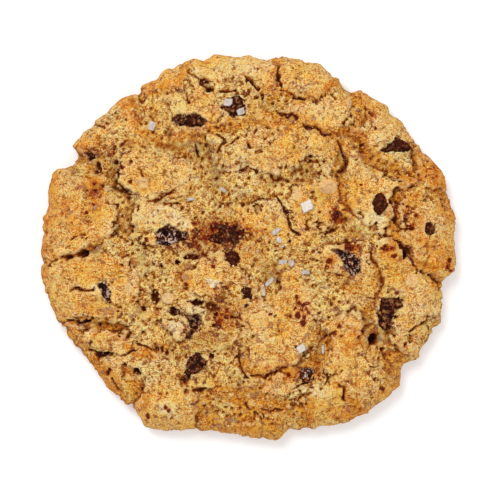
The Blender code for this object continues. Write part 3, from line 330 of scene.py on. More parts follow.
# Browned orange seams between the plates: strength, then x, y and half-width along each
SEAMS = (
    (1.0, ((-35.6, 19.4, 1.6), (-32.0, 18.0, 2.2), (-30.4, 15.2, 1.8), (-31.0, 12.0, 1.2),
     (-30.2, 9.6, 1.4))),
    (0.9, ((-26.0, 31.0, 1.4), (-23.6, 28.4, 1.3), (-22.6, 25.2, 1.2), (-21.0, 22.2, 1.2),
     (-16.0, 21.0, 1.1), (-11.4, 22.6, 1.2), (-7.0, 23.4, 1.0))),
    (0.7, ((-24.0, 20.6, 1.0), (-21.4, 20.2, 1.2), (-18.6, 27.2, 1.0), (-18.8, 24.6, 1.0))),
    (0.9, ((-22.0, 31.4, 1.0), (-17.6, 31.4, 0.9), (-14.2, 32.4, 0.9), (-12.6, 34.4, 0.8),
     (-12.6, 37.4, 1.2))),
    (0.9, ((5.6, 37.6, 1.0), (6.2, 33.2, 1.0), (4.6, 30.4, 0.9), (8.6, 30.4, 0.9), (12.0, 29.8, 0.8),
     (15.8, 31.2, 0.9), (18.2, 34.4, 1.0))),
    (0.9, ((-6.0, 24.0, 0.9), (-1.0, 25.0, 1.4), (5.0, 25.8, 1.3), (10.4, 25.4, 1.1), (16.4, 22.8, 1.0))),
    (1.0, ((17.8, 22.4, 1.0), (18.8, 19.0, 1.3), (18.6, 14.6, 1.3), (19.0, 10.6, 1.0), (20.2, 6.4, 1.0))),
    (1.0, ((19.2, 24.2, 1.1), (22.4, 22.6, 1.3), (24.2, 18.8, 1.3), (27.4, 16.2, 1.4), (32.8, 14.6, 1.4),
     (37.0, 15.4, 2.0), (38.8, 10.6, 1.6))),
    (1.0, ((22.6, 31.2, 1.2), (20.8, 28.4, 1.0), (21.8, 25.6, 1.1), (24.4, 26.4, 0.8), (23.2, 29.2, 1.4))),
    (0.8, ((34.0, 19.6, 1.8), (36.6, 16.8, 2.2), (39.0, 12.0, 1.8), (40.2, 6.0, 1.4))),
    (1.0, ((30.2, 11.2, 1.3), (29.4, 6.2, 1.2), (29.8, 2.2, 1.2), (31.2, -0.8, 1.2), (33.6, -3.2, 1.2),
     (36.4, -3.6, 0.9), (38.2, -7.8, 1.0))),
    (0.7, ((33.2, 9.4, 1.6), (32.6, 5.0, 1.8), (36.0, 0.4, 1.8), (40.0, -3.6, 1.2))),
    (0.7, ((26.2, 0.2, 0.9), (29.2, -0.6, 0.9), (24.2, -1.0, 0.8), (25.8, -5.0, 0.9), (26.0, -9.8, 1.1),
     (24.6, -13.0, 1.2))),
    (1.0, ((23.4, -17.6, 1.6), (26.4, -20.8, 2.4), (29.2, -23.8, 2.4), (29.8, -27.4, 1.8))),
    (0.9, ((14.2, -17.2, 1.1), (15.8, -20.2, 1.2), (14.0, -23.2, 1.4), (11.0, -25.8, 1.6),
     (5.2, -24.8, 1.0), (1.2, -25.6, 1.0), (-1.2, -23.0, 1.1))),
    (1.0, ((-9.6, -29.2, 1.3), (-8.4, -33.8, 1.9), (-8.0, -36.6, 1.6), (-2.0, -34.6, 2.0),
     (4.2, -36.4, 2.2), (4.6, -32.6, 1.8), (-1.6, -30.6, 1.8))),
    (0.9, ((3.6, -30.6, 1.1), (8.6, -32.8, 1.5), (12.4, -30.8, 1.1), (11.6, -35.6, 1.2))),
    (0.8, ((17.6, -33.8, 1.2), (20.8, -32.8, 1.2), (24.0, -34.0, 1.0), (19.0, -29.4, 0.8))),
    (1.0, ((-24.4, -24.2, 0.9), (-22.8, -27.6, 1.5), (-21.6, -31.2, 1.4), (-24.6, -32.4, 0.9))),
    (1.0, ((-38.0, -15.4, 1.1), (-33.6, -15.4, 1.3), (-28.6, -15.6, 1.3), (-24.8, -17.2, 1.1),
     (-23.4, -20.6, 1.0), (-19.6, -21.6, 1.1), (-16.6, -20.4, 1.1))),
    (1.0, ((-37.0, -17.0, 1.2), (-34.0, -20.2, 1.7), (-30.0, -23.6, 1.4), (-27.0, -26.8, 1.3),
     (-25.4, -31.4, 1.1))),
    (0.8, ((-42.0, 4.0, 1.0), (-41.4, -1.6, 1.3), (-37.4, -2.6, 0.9), (-32.8, -1.2, 1.0),
     (-29.8, 0.8, 1.0))),
    (0.3, ((-29.8, 0.8, 1.0), (-26.2, 3.4, 1.4), (-24.8, 8.0, 1.5), (-25.8, 13.0, 1.2),
     (-28.0, 16.4, 1.6))),
    (0.6, ((-12.6, -4.6, 1.5), (-12.8, -8.0, 1.3))),
    (0.7, ((-6.4, -11.2, 1.6), (-3.6, -14.6, 2.0), (0.4, -10.8, 1.4))),
    (0.5, ((-9.4, 4.6, 2.4), (-3.0, 5.0, 2.4), (1.6, 0.6, 2.0), (0.8, -2.8, 1.4))),
    (0.6, ((16.0, 6.6, 1.4), (18.6, 4.6, 1.4), (22.6, 0.8, 1.4), (15.2, -4.0, 1.6), (21.6, -7.8, 1.4))),
    (0.6, ((-41.0, -8.0, 1.0), (-39.0, -13.4, 1.1))), (0.6, ((-40.0, 9.0, 3.2), (-33.0, 6.0, 3.4))),
    (0.7, ((-41.6, -7.0, 1.8), (-42.0, 1.0, 2.2), (-40.6, 8.0, 1.8), (-39.0, 14.0, 1.4))),
    (0.6, ((-36.0, -14.0, 1.6), (-31.0, -12.6, 1.4))), (0.7, ((19.6, -20.4, 1.4), (21.6, -17.2, 1.4))),
    (0.8, ((-5.4, -29.0, 1.8), (0.0, -30.4, 2.2), (4.0, -27.0, 1.4))),
    (0.6, ((-1.0, 26.0, 1.8), (4.4, 30.4, 2.0))),
)

# Zones of olive tint and painted shade in the crumb valleys: x, y, half-width, half-height, strength
OLIVE = (
    (-9.2, 19.0, 2.6, 2.4, 0.9), (-7.2, 14.4, 2.0, 2.8, 0.8), (-14.0, 20.0, 3.2, 1.0, 0.9),
    (18.6, 15.6, 1.4, 4.6, 0.8), (10.8, 14.6, 2.6, 2.2, 0.9), (5.0, 12.6, 2.8, 1.2, 0.8),
    (-24.6, 6.6, 2.0, 3.2, 0.35), (-24.0, 3.6, 3.0, 1.2, 0.7), (-21.0, -2.0, 1.4, 3.6, 0.7),
    (4.8, -5.2, 2.2, 2.6, 0.8), (21.8, 3.6, 2.8, 1.6, 0.7), (-30.6, -0.8, 2.8, 1.2, 0.7),
    (-9.0, -0.4, 3.4, 2.4, 0.6), (13.4, -20.6, 1.8, 2.8, 0.45), (26.6, -17.6, 1.8, 2.2, 0.8),
    (-22.4, 28.6, 1.4, 2.4, 0.6), (-31.4, 17.6, 3.4, 1.8, 0.7), (-27.2, 15.6, 1.6, 2.6, 0.7),
    (24.0, -14.8, 1.8, 1.2, 0.8), (-29.4, -15.4, 4.4, 0.9, 0.7), (-17.4, -4.6, 3.0, 1.6, 0.6),
    (2.0, 9.6, 2.2, 0.9, 0.6), (-23.4, 20.8, 1.8, 1.4, 0.6), (21.8, -12.6, 2.4, 1.6, 0.5),
    (4.0, 28.2, 3.0, 1.4, 0.6), (-21.4, -12.0, 2.0, 1.6, 0.6), (-4.8, 8.0, 2.2, 2.8, 0.4),
    (15.4, 1.6, 2.8, 1.2, 0.4), (-12.6, -21.0, 2.4, 2.0, 0.6), (15.0, -7.6, 2.2, 2.0, 0.4),
    (-2.6, -26.8, 2.2, 2.2, 0.5), (-6.4, -32.0, 3.0, 1.6, 0.4), (28.6, 7.6, 1.0, 4.0, 0.5),
    (-35.0, 14.6, 2.4, 2.2, 0.55), (-29.8, -11.2, 2.0, 1.6, 0.5), (5.0, 30.4, 1.8, 1.8, 0.5),
    (0.4, 25.6, 2.4, 1.4, 0.45), (10.4, 19.6, 2.8, 1.8, 0.55), (15.4, 19.6, 2.2, 1.8, 0.5),
    (15.2, 10.4, 2.0, 1.8, 0.5), (-5.0, -9.6, 2.6, 2.0, 0.5), (-9.4, -0.6, 3.0, 1.8, 0.4),
    (-2.6, -18.4, 3.4, 2.2, 0.4), (-8.0, -18.6, 4.0, 2.6, 0.6), (34.6, -3.4, 2.4, 1.0, 0.6),
    (-15.4, -20.6, 2.0, 2.0, 0.6), (26.4, -6.6, 1.0, 2.6, 0.6), (-9.6, 0.6, 2.2, 1.6, 0.5),
    (-40.0, 0.0, 2.0, 2.0, 0.4), (-35.0, 15.0, 2.4, 1.8, 0.4), (10.4, 20.4, 2.4, 1.6, 0.4),
    (5.0, 30.0, 2.0, 1.6, 0.4), (-3.4, -20.4, 3.0, 2.2, 0.5), (-5.0, -5.4, 2.4, 1.4, 0.4),
    (0.0, -29.6, 2.6, 1.8, 0.5),
)

# Pale floury zones: x, y, half-width, half-height, strength
PALE = (
    (-17.6, 5.6, 4.8, 2.8, 1.1), (24.4, 5.4, 3.4, 1.8, 1.1), (-23.4, -7.0, 2.0, 2.4, 0.6),
    (-7.0, -7.4, 1.6, 1.4, 1.6), (18.0, -4.4, 1.4, 1.8, 1.4), (-12.4, 4.6, 1.2, 0.7, 1.4),
    (-30.6, -8.4, 0.6, 1.4, 1.4), (-21.6, 0.6, 1.4, 1.2, 0.8), (33.0, -12.6, 3.0, 2.4, 0.6),
    (-14.0, -15.8, 1.8, 2.0, 1.2), (-9.4, -26.6, 2.6, 1.2, 0.9), (-18.0, -31.0, 3.0, 1.4, 0.5),
    (-14.0, 28.2, 1.6, 2.6, 0.9), (-0.4, 29.8, 1.6, 1.4, 0.8), (-6.8, 21.4, 1.4, 0.9, 0.9),
    (16.0, -0.4, 3.0, 0.9, 0.8), (23.6, -5.6, 1.6, 3.4, 0.7), (14.6, -8.0, 2.4, 2.4, 0.5),
    (-10.6, -12.4, 2.4, 1.0, 0.8), (-28.8, -11.4, 1.8, 1.4, 0.6), (3.0, 7.8, 3.0, 1.6, 0.5),
    (-4.0, -3.8, 1.6, 0.9, 0.6), (26.4, 22.8, 2.6, 2.4, 0.5), (14.6, 27.4, 4.0, 2.0, 0.4),
    (20.0, -2.6, 3.6, 3.6, 0.5), (-3.0, 35.4, 5.0, 2.0, 0.7), (-24.6, 10.0, 2.6, 3.0, 0.7),
    (12.6, 30.0, 3.6, 2.6, 0.8), (21.6, 25.6, 3.0, 2.4, 0.7), (-9.6, 22.8, 3.0, 1.8, 0.6),
    (-2.8, 18.0, 3.2, 3.0, 0.6), (30.6, 17.8, 3.0, 3.0, 0.9), (24.4, 0.4, 2.4, 1.8, 0.9),
    (0.2, -5.0, 2.4, 2.0, 0.8), (-20.4, -2.8, 2.4, 3.4, 0.7), (14.8, -5.8, 3.0, 2.4, 0.7),
    (12.2, -28.4, 3.8, 3.0, 0.9), (-20.2, -24.4, 2.8, 3.0, 0.8), (-10.2, -30.2, 2.4, 2.6, 0.9),
    (29.0, 12.4, 2.4, 2.4, 0.7), (-19.0, 14.4, 4.6, 2.4, 0.4), (-25.0, 10.6, 2.2, 2.2, 0.6),
    (30.0, 20.0, 2.4, 2.0, 0.7), (25.6, 1.0, 2.4, 2.4, 0.7), (15.2, 29.6, 2.6, 2.0, 0.7),
    (21.0, 25.4, 2.6, 1.8, 0.6), (-10.0, -30.4, 2.2, 1.8, 0.5), (14.6, -25.0, 2.2, 1.8, 0.6),
    (0.2, 15.0, 2.4, 2.0, 0.5), (-16.4, -32.4, 1.8, 1.7, 1.2), (-15.6, -27.6, 2.6, 2.4, 0.6),
)

# Clusters of dots of chocolate: x, y, half-width, half-height, strength
DUSTED = (
    (-10.0, 4.6, 1.6, 1.0, 1.0), (-4.6, -13.6, 1.6, 1.8, 1.0), (17.0, 6.2, 1.4, 1.4, 1.0),
    (19.4, -30.0, 1.2, 2.0, 1.0), (27.6, -22.6, 1.6, 1.2, 1.0), (-26.4, 26.0, 1.0, 2.2, 1.0),
    (21.0, 0.6, 1.6, 0.9, 1.0),
)

# Red-brown specks of chocolate dust: x, y, radius
SPECKS = (
    (9.7, -10.0, 0.42), (10.0, -11.0, 0.46), (11.0, -11.5, 0.42), (9.4, -12.2, 0.44), (12.1, -11.2, 0.46),
    (10.8, -12.6, 0.46), (11.8, -12.3, 0.42), (9.9, -13.6, 0.62), (11.1, -13.7, 0.44), (12.2, -13.2, 0.42),
    (10.9, -15.0, 0.7), (8.5, -13.8, 0.4), (17.0, -17.0, 0.6), (18.2, -15.8, 0.4), (18.6, -17.8, 0.35),
    (29.0, -1.8, 0.5), (-20.2, 1.4, 0.5), (-10.6, 4.4, 0.5), (-11.0, 3.2, 0.4), (-28.0, 24.8, 0.4),
    (-26.8, 18.8, 0.5), (-25.2, 15.8, 0.45), (-23.4, 13.0, 0.4), (25.4, 23.8, 0.4), (26.8, -28.4, 0.5),
    (31.4, -19.4, 0.5), (32.4, -18.4, 0.35), (-20.0, -33.8, 0.45), (-16.2, -29.2, 0.4), (8.0, -25.6, 0.5),
    (-30.6, 12.6, 0.5), (-30.8, 8.4, 0.4), (-32.2, 6.8, 0.35), (33.4, 6.2, 0.5), (16.0, -2.6, 0.6),
    (15.8, -4.1, 0.5), (40.4, -2.8, 0.4), (40.4, -4.8, 0.4), (14.2, 7.0, 0.35), (22.6, 12.2, 0.3),
    (-34.6, -4.2, 0.3), (3.4, 3.6, 0.3), (-0.8, 5.4, 0.35), (-6.8, -3.8, 0.5), (-12.2, -7.4, 0.4),
    (4.4, -13.2, 0.35), (6.2, -16.8, 0.3), (-25.8, -12.8, 0.35), (24.2, -25.0, 0.35), (14.4, 19.4, 0.3),
    (-16.5, -32.0, 0.45), (-16.0, -32.6, 0.4),
)

# Chips: name of the solid, then points round the visible outline, clockwise from its left
CHIPS = (
    ("chip_upper_left", ((-15.0, 25.4), (-14.0, 26.4), (-12.6, 25.9), (-11.2, 26.5), (-9.6, 26.2),
     (-8.2, 25.2), (-9.4, 24.2), (-11.4, 23.9), (-13.4, 24.4))),
    ("chip_salted", ((-5.6, 28.0), (-4.4, 29.4), (-2.0, 29.8), (-0.6, 28.4), (0.4, 25.8), (-1.4, 25.9),
     (-3.0, 25.6), (-4.4, 26.8))),
    ("chip_upper_right", ((26.4, 19.0), (27.8, 20.8), (29.4, 21.6), (30.6, 20.8), (32.8, 19.8),
     (31.0, 19.2), (29.2, 19.4), (27.6, 18.8))),
    ("chip_right", ((24.8, 8.8), (26.2, 10.2), (26.8, 10.4), (27.8, 8.6), (27.4, 7.6), (26.4, 6.0),
     (25.2, 7.4))),
    ("chip_right_of_centre", ((16.6, -0.4), (18.4, -0.6), (20.4, -1.0), (22.2, -2.6), (22.2, -4.6),
     (21.0, -6.4), (20.4, -5.6), (19.4, -4.0), (18.4, -1.8))),
    ("chip_lower_right", ((26.0, -13.0), (26.6, -10.2), (29.4, -10.2), (31.0, -10.6), (30.8, -11.8),
     (29.6, -12.4), (28.6, -15.0), (27.6, -16.4), (26.4, -15.2))),
    ("chip_left_of_centre", ((-18.4, 0.8), (-17.8, 3.6), (-16.0, 4.6), (-13.6, 3.4), (-12.0, 2.8),
     (-12.2, 1.6), (-14.6, 0.4), (-16.4, 0.0))),
    ("chip_centre", ((-6.8, 3.0), (-5.0, 4.0), (-3.2, 3.6), (-1.8, 2.2), (-2.2, 0.4), (-4.2, -0.4),
     (-6.4, 0.8))),
    ("chip_below_centre", ((-4.2, -2.0), (-3.4, -1.2), (-2.2, -1.8), (-1.6, -3.4), (-2.6, -3.6),
     (-3.6, -3.0))),
    ("chip_lower_centre", ((-1.4, -8.6), (-0.4, -7.8), (0.8, -8.6), (0.6, -10.2), (0.0, -12.0),
     (-0.8, -11.8), (-0.8, -10.2))),
    ("chip_left", ((-29.8, -7.4), (-28.8, -7.0), (-27.6, -9.0), (-27.2, -11.4), (-28.2, -11.2),
     (-29.4, -9.4))),
    ("chip_lower_left", ((-13.0, -23.6), (-11.4, -21.8), (-9.6, -20.8), (-8.6, -22.6), (-7.8, -25.0),
     (-9.6, -24.8), (-11.4, -25.4), (-12.4, -26.6))),
    ("chip_lower_slot", ((-15.2, -12.6), (-13.2, -12.8), (-11.4, -13.6), (-9.6, -13.4), (-8.8, -14.8),
     (-9.6, -16.4), (-11.2, -17.6), (-12.4, -18.2), (-12.0, -16.6), (-11.4, -15.4), (-12.0, -14.4),
     (-13.8, -13.6))),
    ("chip_rim", ((35.4, 3.0), (35.6, 4.8), (36.2, 5.2), (37.0, 4.6), (36.8, 3.0), (36.0, 2.4))),
    ("chip_lower_hollow", ((9.2, -25.6), (10.6, -24.6), (12.4, -24.4), (13.6, -25.2), (12.6, -26.6),
     (10.8, -27.0))),
)

# How far dough creeps over a chip from its outline
CREEP = {
    "chip_centre": 1.6, "chip_left_of_centre": 0.2, "chip_lower_centre": 0.6, "chip_below_centre": 0.3,
    "chip_salted": 0.3, "chip_lower_slot": 0.2, "chip_left": 0.0, "chip_lower_hollow": 0.5,
    "chip_upper_right": 0.3, "chip_lower_left": 0.4,
}

# How much pale bloom and painted sheen mark a chip, where it isn't middling
WHITENED = {
    "chip_right": 0.0, "chip_below_centre": 0.05, "chip_rim": 0.2, "chip_upper_right": 0.15,
    "chip_lower_centre": 0.2, "chip_centre": 0.35, "chip_left_of_centre": 1.0,
    "chip_right_of_centre": 0.8, "chip_left": 1.0, "chip_lower_hollow": 0.9, "chip_lower_slot": 0.7,
}

# Full creep in millimetres, the depth of the dough below a chip's face, and the crust's layers per unit
CREEP_REACH = 1.6
CHIP_PIT = 1.5
CRUST_STEPS = 5.0

# Salt flakes: x, y, half-length, half-width, turn in degrees
FLAKES = (
    (-4.0, 28.8, 1.0, 0.8, 0), (-1.4, 27.0, 0.9, 0.85, 15), (-19.2, 24.2, 1.1, 0.8, 70),
    (11.8, 8.2, 1.4, 1.35, 20), (5.6, 3.2, 1.1, 0.55, 38), (6.2, 1.4, 0.7, 0.65, 80),
    (6.8, 0.2, 0.4, 0.3, 0), (7.0, -3.0, 1.0, 0.5, 0), (8.6, -3.2, 0.75, 0.65, 60),
    (4.2, -7.0, 1.2, 0.45, 42), (3.0, -8.6, 1.3, 0.4, 90), (11.4, -5.0, 1.0, 0.5, 5),
    (10.6, -20.2, 1.15, 0.9, 35), (15.0, -20.4, 1.1, 0.3, 90), (-11.4, 9.6, 0.9, 0.4, 0),
    (-5.0, 11.4, 0.8, 0.4, -40),
)

# Smaller ones: x, y
SMALL_FLAKES = (
    (-19.4, 16.4), (1.2, 0.6), (0.0, -0.2), (-2.2, -10.4), (3.8, 14.4), (1.8, -0.8), (3.6, 6.0),
    (11.2, 3.2), (2.8, -27.0), (-4.0, -31.2), (-6.4, -7.2), (15.8, -9.2), (-9.0, 7.4), (7.2, 8.8),
    (2.4, -4.2), (-3.6, 6.6), (13.6, -1.2), (-7.0, 20.8), (9.4, 21.4), (-1.0, 17.0), (-12.6, -30.2),
    (20.0, -24.4), (5.4, -18.6),
)


def value_noise(points, size, seed):
    """Smooth noise from -1 to 1 at each row of points, with bumps about size apart."""
    cell = np.floor(points / size)
    part = points / size - cell
    blend = part * part * (3 - 2 * part)
    cell = cell.astype(np.int64)
    total = np.zeros(len(points))
    for corner in itertools.product((0, 1), repeat=points.shape[1]):
        weight = np.ones(len(points))
        for axis, step in enumerate(corner):
            weight *= blend[:, axis] if step else 1 - blend[:, axis]
        total += weight * (2 * hashed(cell + corner, seed) - 1)
    return total


def hashed(cell, seed):
    """A random number from 0 to 1 for each row of whole numbers."""
    code = np.full(len(cell), seed + 1, dtype=np.int64)
    for axis in range(cell.shape[1]):
        code = (code * 1597334677 + cell[:, axis] * 3812015801) & 0xFFFFFFFF
    code ^= code >> 15
    code = (code * 2246822519) & 0xFFFFFFFF
    code ^= code >> 13
    return code / 0xFFFFFFFF


def layered_noise(points, size, seed, layers, roughness):
    """Smooth noise from -1 to 1 with finer layers over it, each half the size of the one before."""
    total = np.zeros(len(points))
    weight, whole = 1.0, 0.0
    for layer in range(layers):
        total += weight * value_noise(points, size / 2**layer, seed + 31 * layer)
        whole += weight
        weight *= roughness
    return total / whole


def cell_distances(points, size, seed):
    """Distances to the nearest and the second nearest of scattered points about size apart, in sizes."""
    cell = np.floor(points / size).astype(np.int64)
    nearest = np.full(len(points), FAR)
    second = np.full(len(points), FAR)
    for step in itertools.product((-1, 0, 1), repeat=points.shape[1]):
        neighbour = cell + step
        draws = [hashed(neighbour, seed + 7 * axis) for axis in range(points.shape[1])]
        away = np.linalg.norm(points / size - (neighbour + np.column_stack(draws)), axis=1)
        second = np.minimum(second, np.maximum(nearest, away))
        nearest = np.minimum(nearest, away)
    return nearest, second


def wandered(flat, *swings):
    """The points' x and y moved by smooth noise, each swing a reach, a size and a seed for either."""
    shift = 0
    for reach, size, x_seed, y_seed in swings:
        noise = (value_noise(flat, size, x_seed), value_noise(flat, size, y_seed))
        shift = shift + reach * np.column_stack(noise)
    return (flat + shift).T


def smooth(value, low, high):
    """From 0 at low to 1 at high, with no corner at either end."""
    part = np.clip((value - low) / (high - low), 0, 1)
    return part * part * (3 - 2 * part)


def rim_radius():
    """The outline's radius at even angles, straight between the rim's points, its corners rounded."""
    rim = np.array(RIM)
    angle = np.mod(np.arctan2(rim[:, 1], rim[:, 0]), 2 * math.pi)
    order = np.argsort(angle)
    turn = np.arange(OUTLINE_STEPS) * 2 * math.pi / OUTLINE_STEPS
    radius = np.interp(turn, angle[order], np.hypot(*rim[order].T), period=2 * math.pi)
    window = np.hanning(CORNER_ROUNDING + 2)[1:-1]
    padded = np.concatenate([radius[-CORNER_ROUNDING:], radius, radius[:CORNER_ROUNDING]])
    rounded = np.convolve(padded, window / window.sum(), mode="same")
    return rounded[CORNER_ROUNDING:-CORNER_ROUNDING]


RADIUS = rim_radius()


def radius_at(angle):
    step = np.mod(angle, 2 * math.pi) / (2 * math.pi) * OUTLINE_STEPS
    return np.interp(step, np.arange(OUTLINE_STEPS + 1), np.append(RADIUS, RADIUS[0]))


def from_stretch(x, y, start, end):
    """How far along a straight stretch each point lies, from 0 to 1, and how far away from it."""
    dx, dy = end[0] - start[0], end[1] - start[1]
    x, y = x - start[0], y - start[1]
    along = np.clip((x * dx + y * dy) / (dx * dx + dy * dy), 0, 1)
    return along, np.hypot(x - along * dx, y - along * dy)


def stroke_share(x, y, stroke):
    """Distance from a stroke's middle line, in shares of its half-width there."""
    share = np.full(len(x), FAR)
    for start, end in zip(stroke, stroke[1:]):
        along, away = from_stretch(x, y, start, end)
        share = np.minimum(share, away / (start[2] + along * (end[2] - start[2])))
    return share


def strokes_depth(x, y, strokes, reach, low, high):
    """The deepest of the strokes at each point, its reach in half-widths from the middle line."""
    depth = np.zeros(len(x))
    for deep, stroke in strokes:
        depth = np.maximum(depth, deep * smooth(reach - stroke_share(x, y, stroke), low, high))
    return depth


def spot_share(x, y, spot):
    """Distance from a spot's middle, in shares of its half-width and half-height."""
    return np.hypot((x - spot[0]) / spot[2], (y - spot[1]) / spot[3])


def spots_depth(x, y, spots, reach, fade):
    """The deepest of the spots at each point, its reach and the width of its fading edge in shares."""
    depth = np.zeros(len(x))
    for spot in spots:
        depth = np.maximum(depth, spot[4] * smooth(reach - spot_share(x, y, spot), 0.0, fade))
    return depth


def outline_distance(x, y, outline):
    """Distance from a closed outline, less than 0 inside it."""
    distance = np.full(len(x), FAR)
    inside = np.zeros(len(x), dtype=bool)
    for start, end in zip(outline, outline[1:] + outline[:1]):
        _, away = from_stretch(x, y, start, end)
        distance = np.minimum(distance, away)
        dx, dy = end[0] - start[0], end[1] - start[1]
        crosses = (start[1] > y) != (end[1] > y)
        inside ^= crosses & (x < start[0] + (y - start[1]) * dx / (dy if dy else 1e-9))
    return np.where(inside, -distance, distance)


def crumb_openness(flat):
    """How far each point lies in open crumb, how deep the crumb lies there, and crevices beside it."""
    x, y = wandered(flat, (0.7, 3.4, 11, 13), (0.45, 1.3, 12, 14), (0.25, 0.6, 15, 16))
    depth = strokes_depth(x, y, CRUMB, 2.0, 0.2, 1.6)
    beyond = np.full(len(x), FAR)
    for plate in PLATES:
        beyond = np.minimum(beyond, outline_distance(x, y, plate))
    islands = smooth(layered_noise(flat, 4.0, 25, 4, 0.65), 0.10, 0.30)
    field = beyond + 0.9 * layered_noise(flat, 2.0, 21, 4, 0.75)
    field = field - 1.3 * islands * smooth(beyond, 0.2, 1.2)
    holed = smooth(layered_noise(flat, 3.6, 27, 4, 0.7), 0.22, 0.40)
    field = np.maximum(field, holed * 1.2 - 0.6 - 0.25 * smooth(-beyond, 1.0, 3.0))
    field = field + 0.4 * layered_noise(flat, 0.9, 22, 2, 0.6)
    opened = smooth(field, -0.16, 0.20)
    beside = smooth(1 - np.abs(field - 0.22) / 0.30, 0.0, 0.9)
    crevice = beside * smooth(layered_noise(flat, 3.0, 26, 3, 0.6), 0.0, 0.35)
    return opened, 0.22 + 0.9 * depth, crevice


def crack_depths(flat):
    """Depth of the traced cracks and of the fine fissures between them."""
    x, y = wandered(flat, (0.5, 1.9, 31, 33), (0.3, 0.8, 32, 34))
    depth = strokes_depth(x, y, CRACKS, 1.35, 0.0, 1.0)
    depth *= smooth(layered_noise(flat, 2.0, 30, 3, 0.6), -0.8, -0.1)
    swing = np.column_stack([value_noise(flat, 4.0, 35), value_noise(flat, 4.0, 36)])
    bent = np.column_stack([x, y]) + 0.8 * swing
    for size, width, deep, seed in FISSURES:
        nearest, second = cell_distances(bent, size, seed)
        broken = smooth(layered_noise(flat, size, seed + 1, 3, 0.6), -0.1, 0.35)
        depth = np.maximum(depth, deep * broken * smooth(width - (second - nearest), 0.0, width))
    return depth


def hole_depths(flat):
    x = flat[:, 0] + 0.5 * layered_noise(flat, 1.2, 41, 3, 0.7)
    y = flat[:, 1] + 0.5 * layered_noise(flat, 1.2, 42, 3, 0.7)
    return spots_depth(x, y, HOLES, 1.3, 0.6)


def crust_relief(flat):
    """The crust's height, in thin layers with pits in them, and where painted shade goes at the feet of the
    layers.
    """
    flakes = CRUST_STEPS * layered_noise(flat, 4.2, 51, 4, 0.55)
    part = flakes - np.floor(flakes)
    stepped = (np.floor(flakes) + smooth(part, 0.0, 0.2)) / CRUST_STEPS
    ledge = smooth(1 - np.abs(part - 0.06) / 0.12, 0.0, 0.8)
    ledge *= smooth(layered_noise(flat, 2.2, 55, 3, 0.6), -0.2, 0.3)
    pits, _ = cell_distances(flat, 0.95, 53)
    pitted = smooth(layered_noise(flat, 3.0, 54, 3, 0.6), -0.3, 0.3) * smooth(0.42 - pits, 0.0, 0.3)
    return 0.45 * stepped + 0.16 * layered_noise(flat, 1.3, 52, 3, 0.75) - 0.22 * pitted, ledge


def crumb_relief(flat):
    """The crumb's height above its own depth, in large and small lumps with gaps between them."""
    swell = 0.8 * layered_noise(flat, 3.4, 64, 5, 0.65)
    lumps, _ = cell_distances(flat + 0.3 * value_noise(flat, 0.9, 61)[:, None], 1.35, 62)
    small, _ = cell_distances(flat, 0.7, 63)
    gaps, _ = cell_distances(flat, 1.5, 65)
    gaps = smooth(layered_noise(flat, 2.5, 66, 3, 0.6), -0.25, 0.2) * smooth(0.34 - gaps, 0.0, 0.2)
    return swell + 0.22 * (0.55 - lumps) + 0.15 * (small - 0.5) - 0.6 * gaps


def blister_relief(flat):
    """Where the smooth blisters lie, from 0 to 1, and how high they rise."""
    blister = np.zeros(len(flat))
    raised = np.zeros(len(flat))
    for spot in BLISTERS:
        share = spot_share(*flat.T, spot)
        blister = np.maximum(blister, smooth(1.1 - share, 0.0, 0.3))
        raised = np.maximum(raised, spot[4] * np.sqrt(np.clip(1 - share * share, 0, 1)))
    return blister, raised


def chip_distance(flat):
    """Distance from the dough's edge round the nearest chip, less than 0 over the chip."""
    creeping = smooth(layered_noise(flat, 1.5, 68, 3, 0.7), -0.25, 0.35)
    distance = np.full(len(flat), FAR)
    for name, outline in CHIPS:
        crept = CREEP_REACH * CREEP.get(name, 0.0) * creeping
        distance = np.minimum(distance, outline_distance(*flat.T, outline) + crept)
    return distance + 0.55 * layered_noise(flat, 1.5, 67, 4, 0.75)


def relief(flat):
    """The surface above the plain dome, with what its looks depend on, at each x, y."""
    opened, crumb_depth, crevice = crumb_openness(flat)
    crust, ledge = crust_relief(flat)
    blister, raised = blister_relief(flat)
    near_chip = chip_distance(flat)
    opened = opened * (1 - blister)
    crust = crust * (1 - 0.8 * blister) + raised
    low = opened * (crumb_depth - crumb_relief(flat)) - (1 - opened) * crust
    cracks = np.maximum(crack_depths(flat), 0.7 * crevice) * (1 - blister)
    holes = hole_depths(flat)
    fold = strokes_depth(*flat.T, FOLDS, 2.0, 0.0, 2.0)
    pit = CHIP_PIT * smooth(-near_chip, -0.12, 0.22)
    swell = 0.6 * value_noise(flat, 13.0, 1) + 0.42 * value_noise(flat, 6.5, 2)
    height = swell - low - np.maximum(cracks, holes) - fold - pit
    cover = {
        "opened": opened, "cracks": cracks, "holes": holes, "blister": blister, "near_chip": near_chip,
        "ledge": ledge * (1 - opened),
    }
    return height, cover


def full_profile():
    base_share = 1 - BASE_INSET / np.mean(RADIUS)
    rows = [(share, height * CROWN_HEIGHT) for share, height in PROFILE]
    return np.array(rows + [(base_share, 0.0)])


def disc_grid(side):
    """A square grid bent onto a disc: each point's reach from 0 to 1, its angle, its place in the square."""
    u, v = np.meshgrid(np.linspace(-1, 1, side + 1), np.linspace(-1, 1, side + 1))
    u, v = u.ravel(), v.ravel()
    wide = np.abs(u) > np.abs(v)
    outward = np.where(wide, u, v)
    sideways = np.where(wide, v, u) / np.where(outward == 0, 1, outward)
    angle = np.where(wide, sideways, 2 - sideways) * math.pi / 4
    return np.abs(outward), np.where(outward < 0, angle + math.pi, angle), np.column_stack([u, v])


def grid_quads(side):
    corner = np.arange(side * (side + 1)).reshape(side, side + 1)[:, :-1].ravel()
    return np.column_stack([corner, corner + 1, corner + side + 2, corner + side + 1])


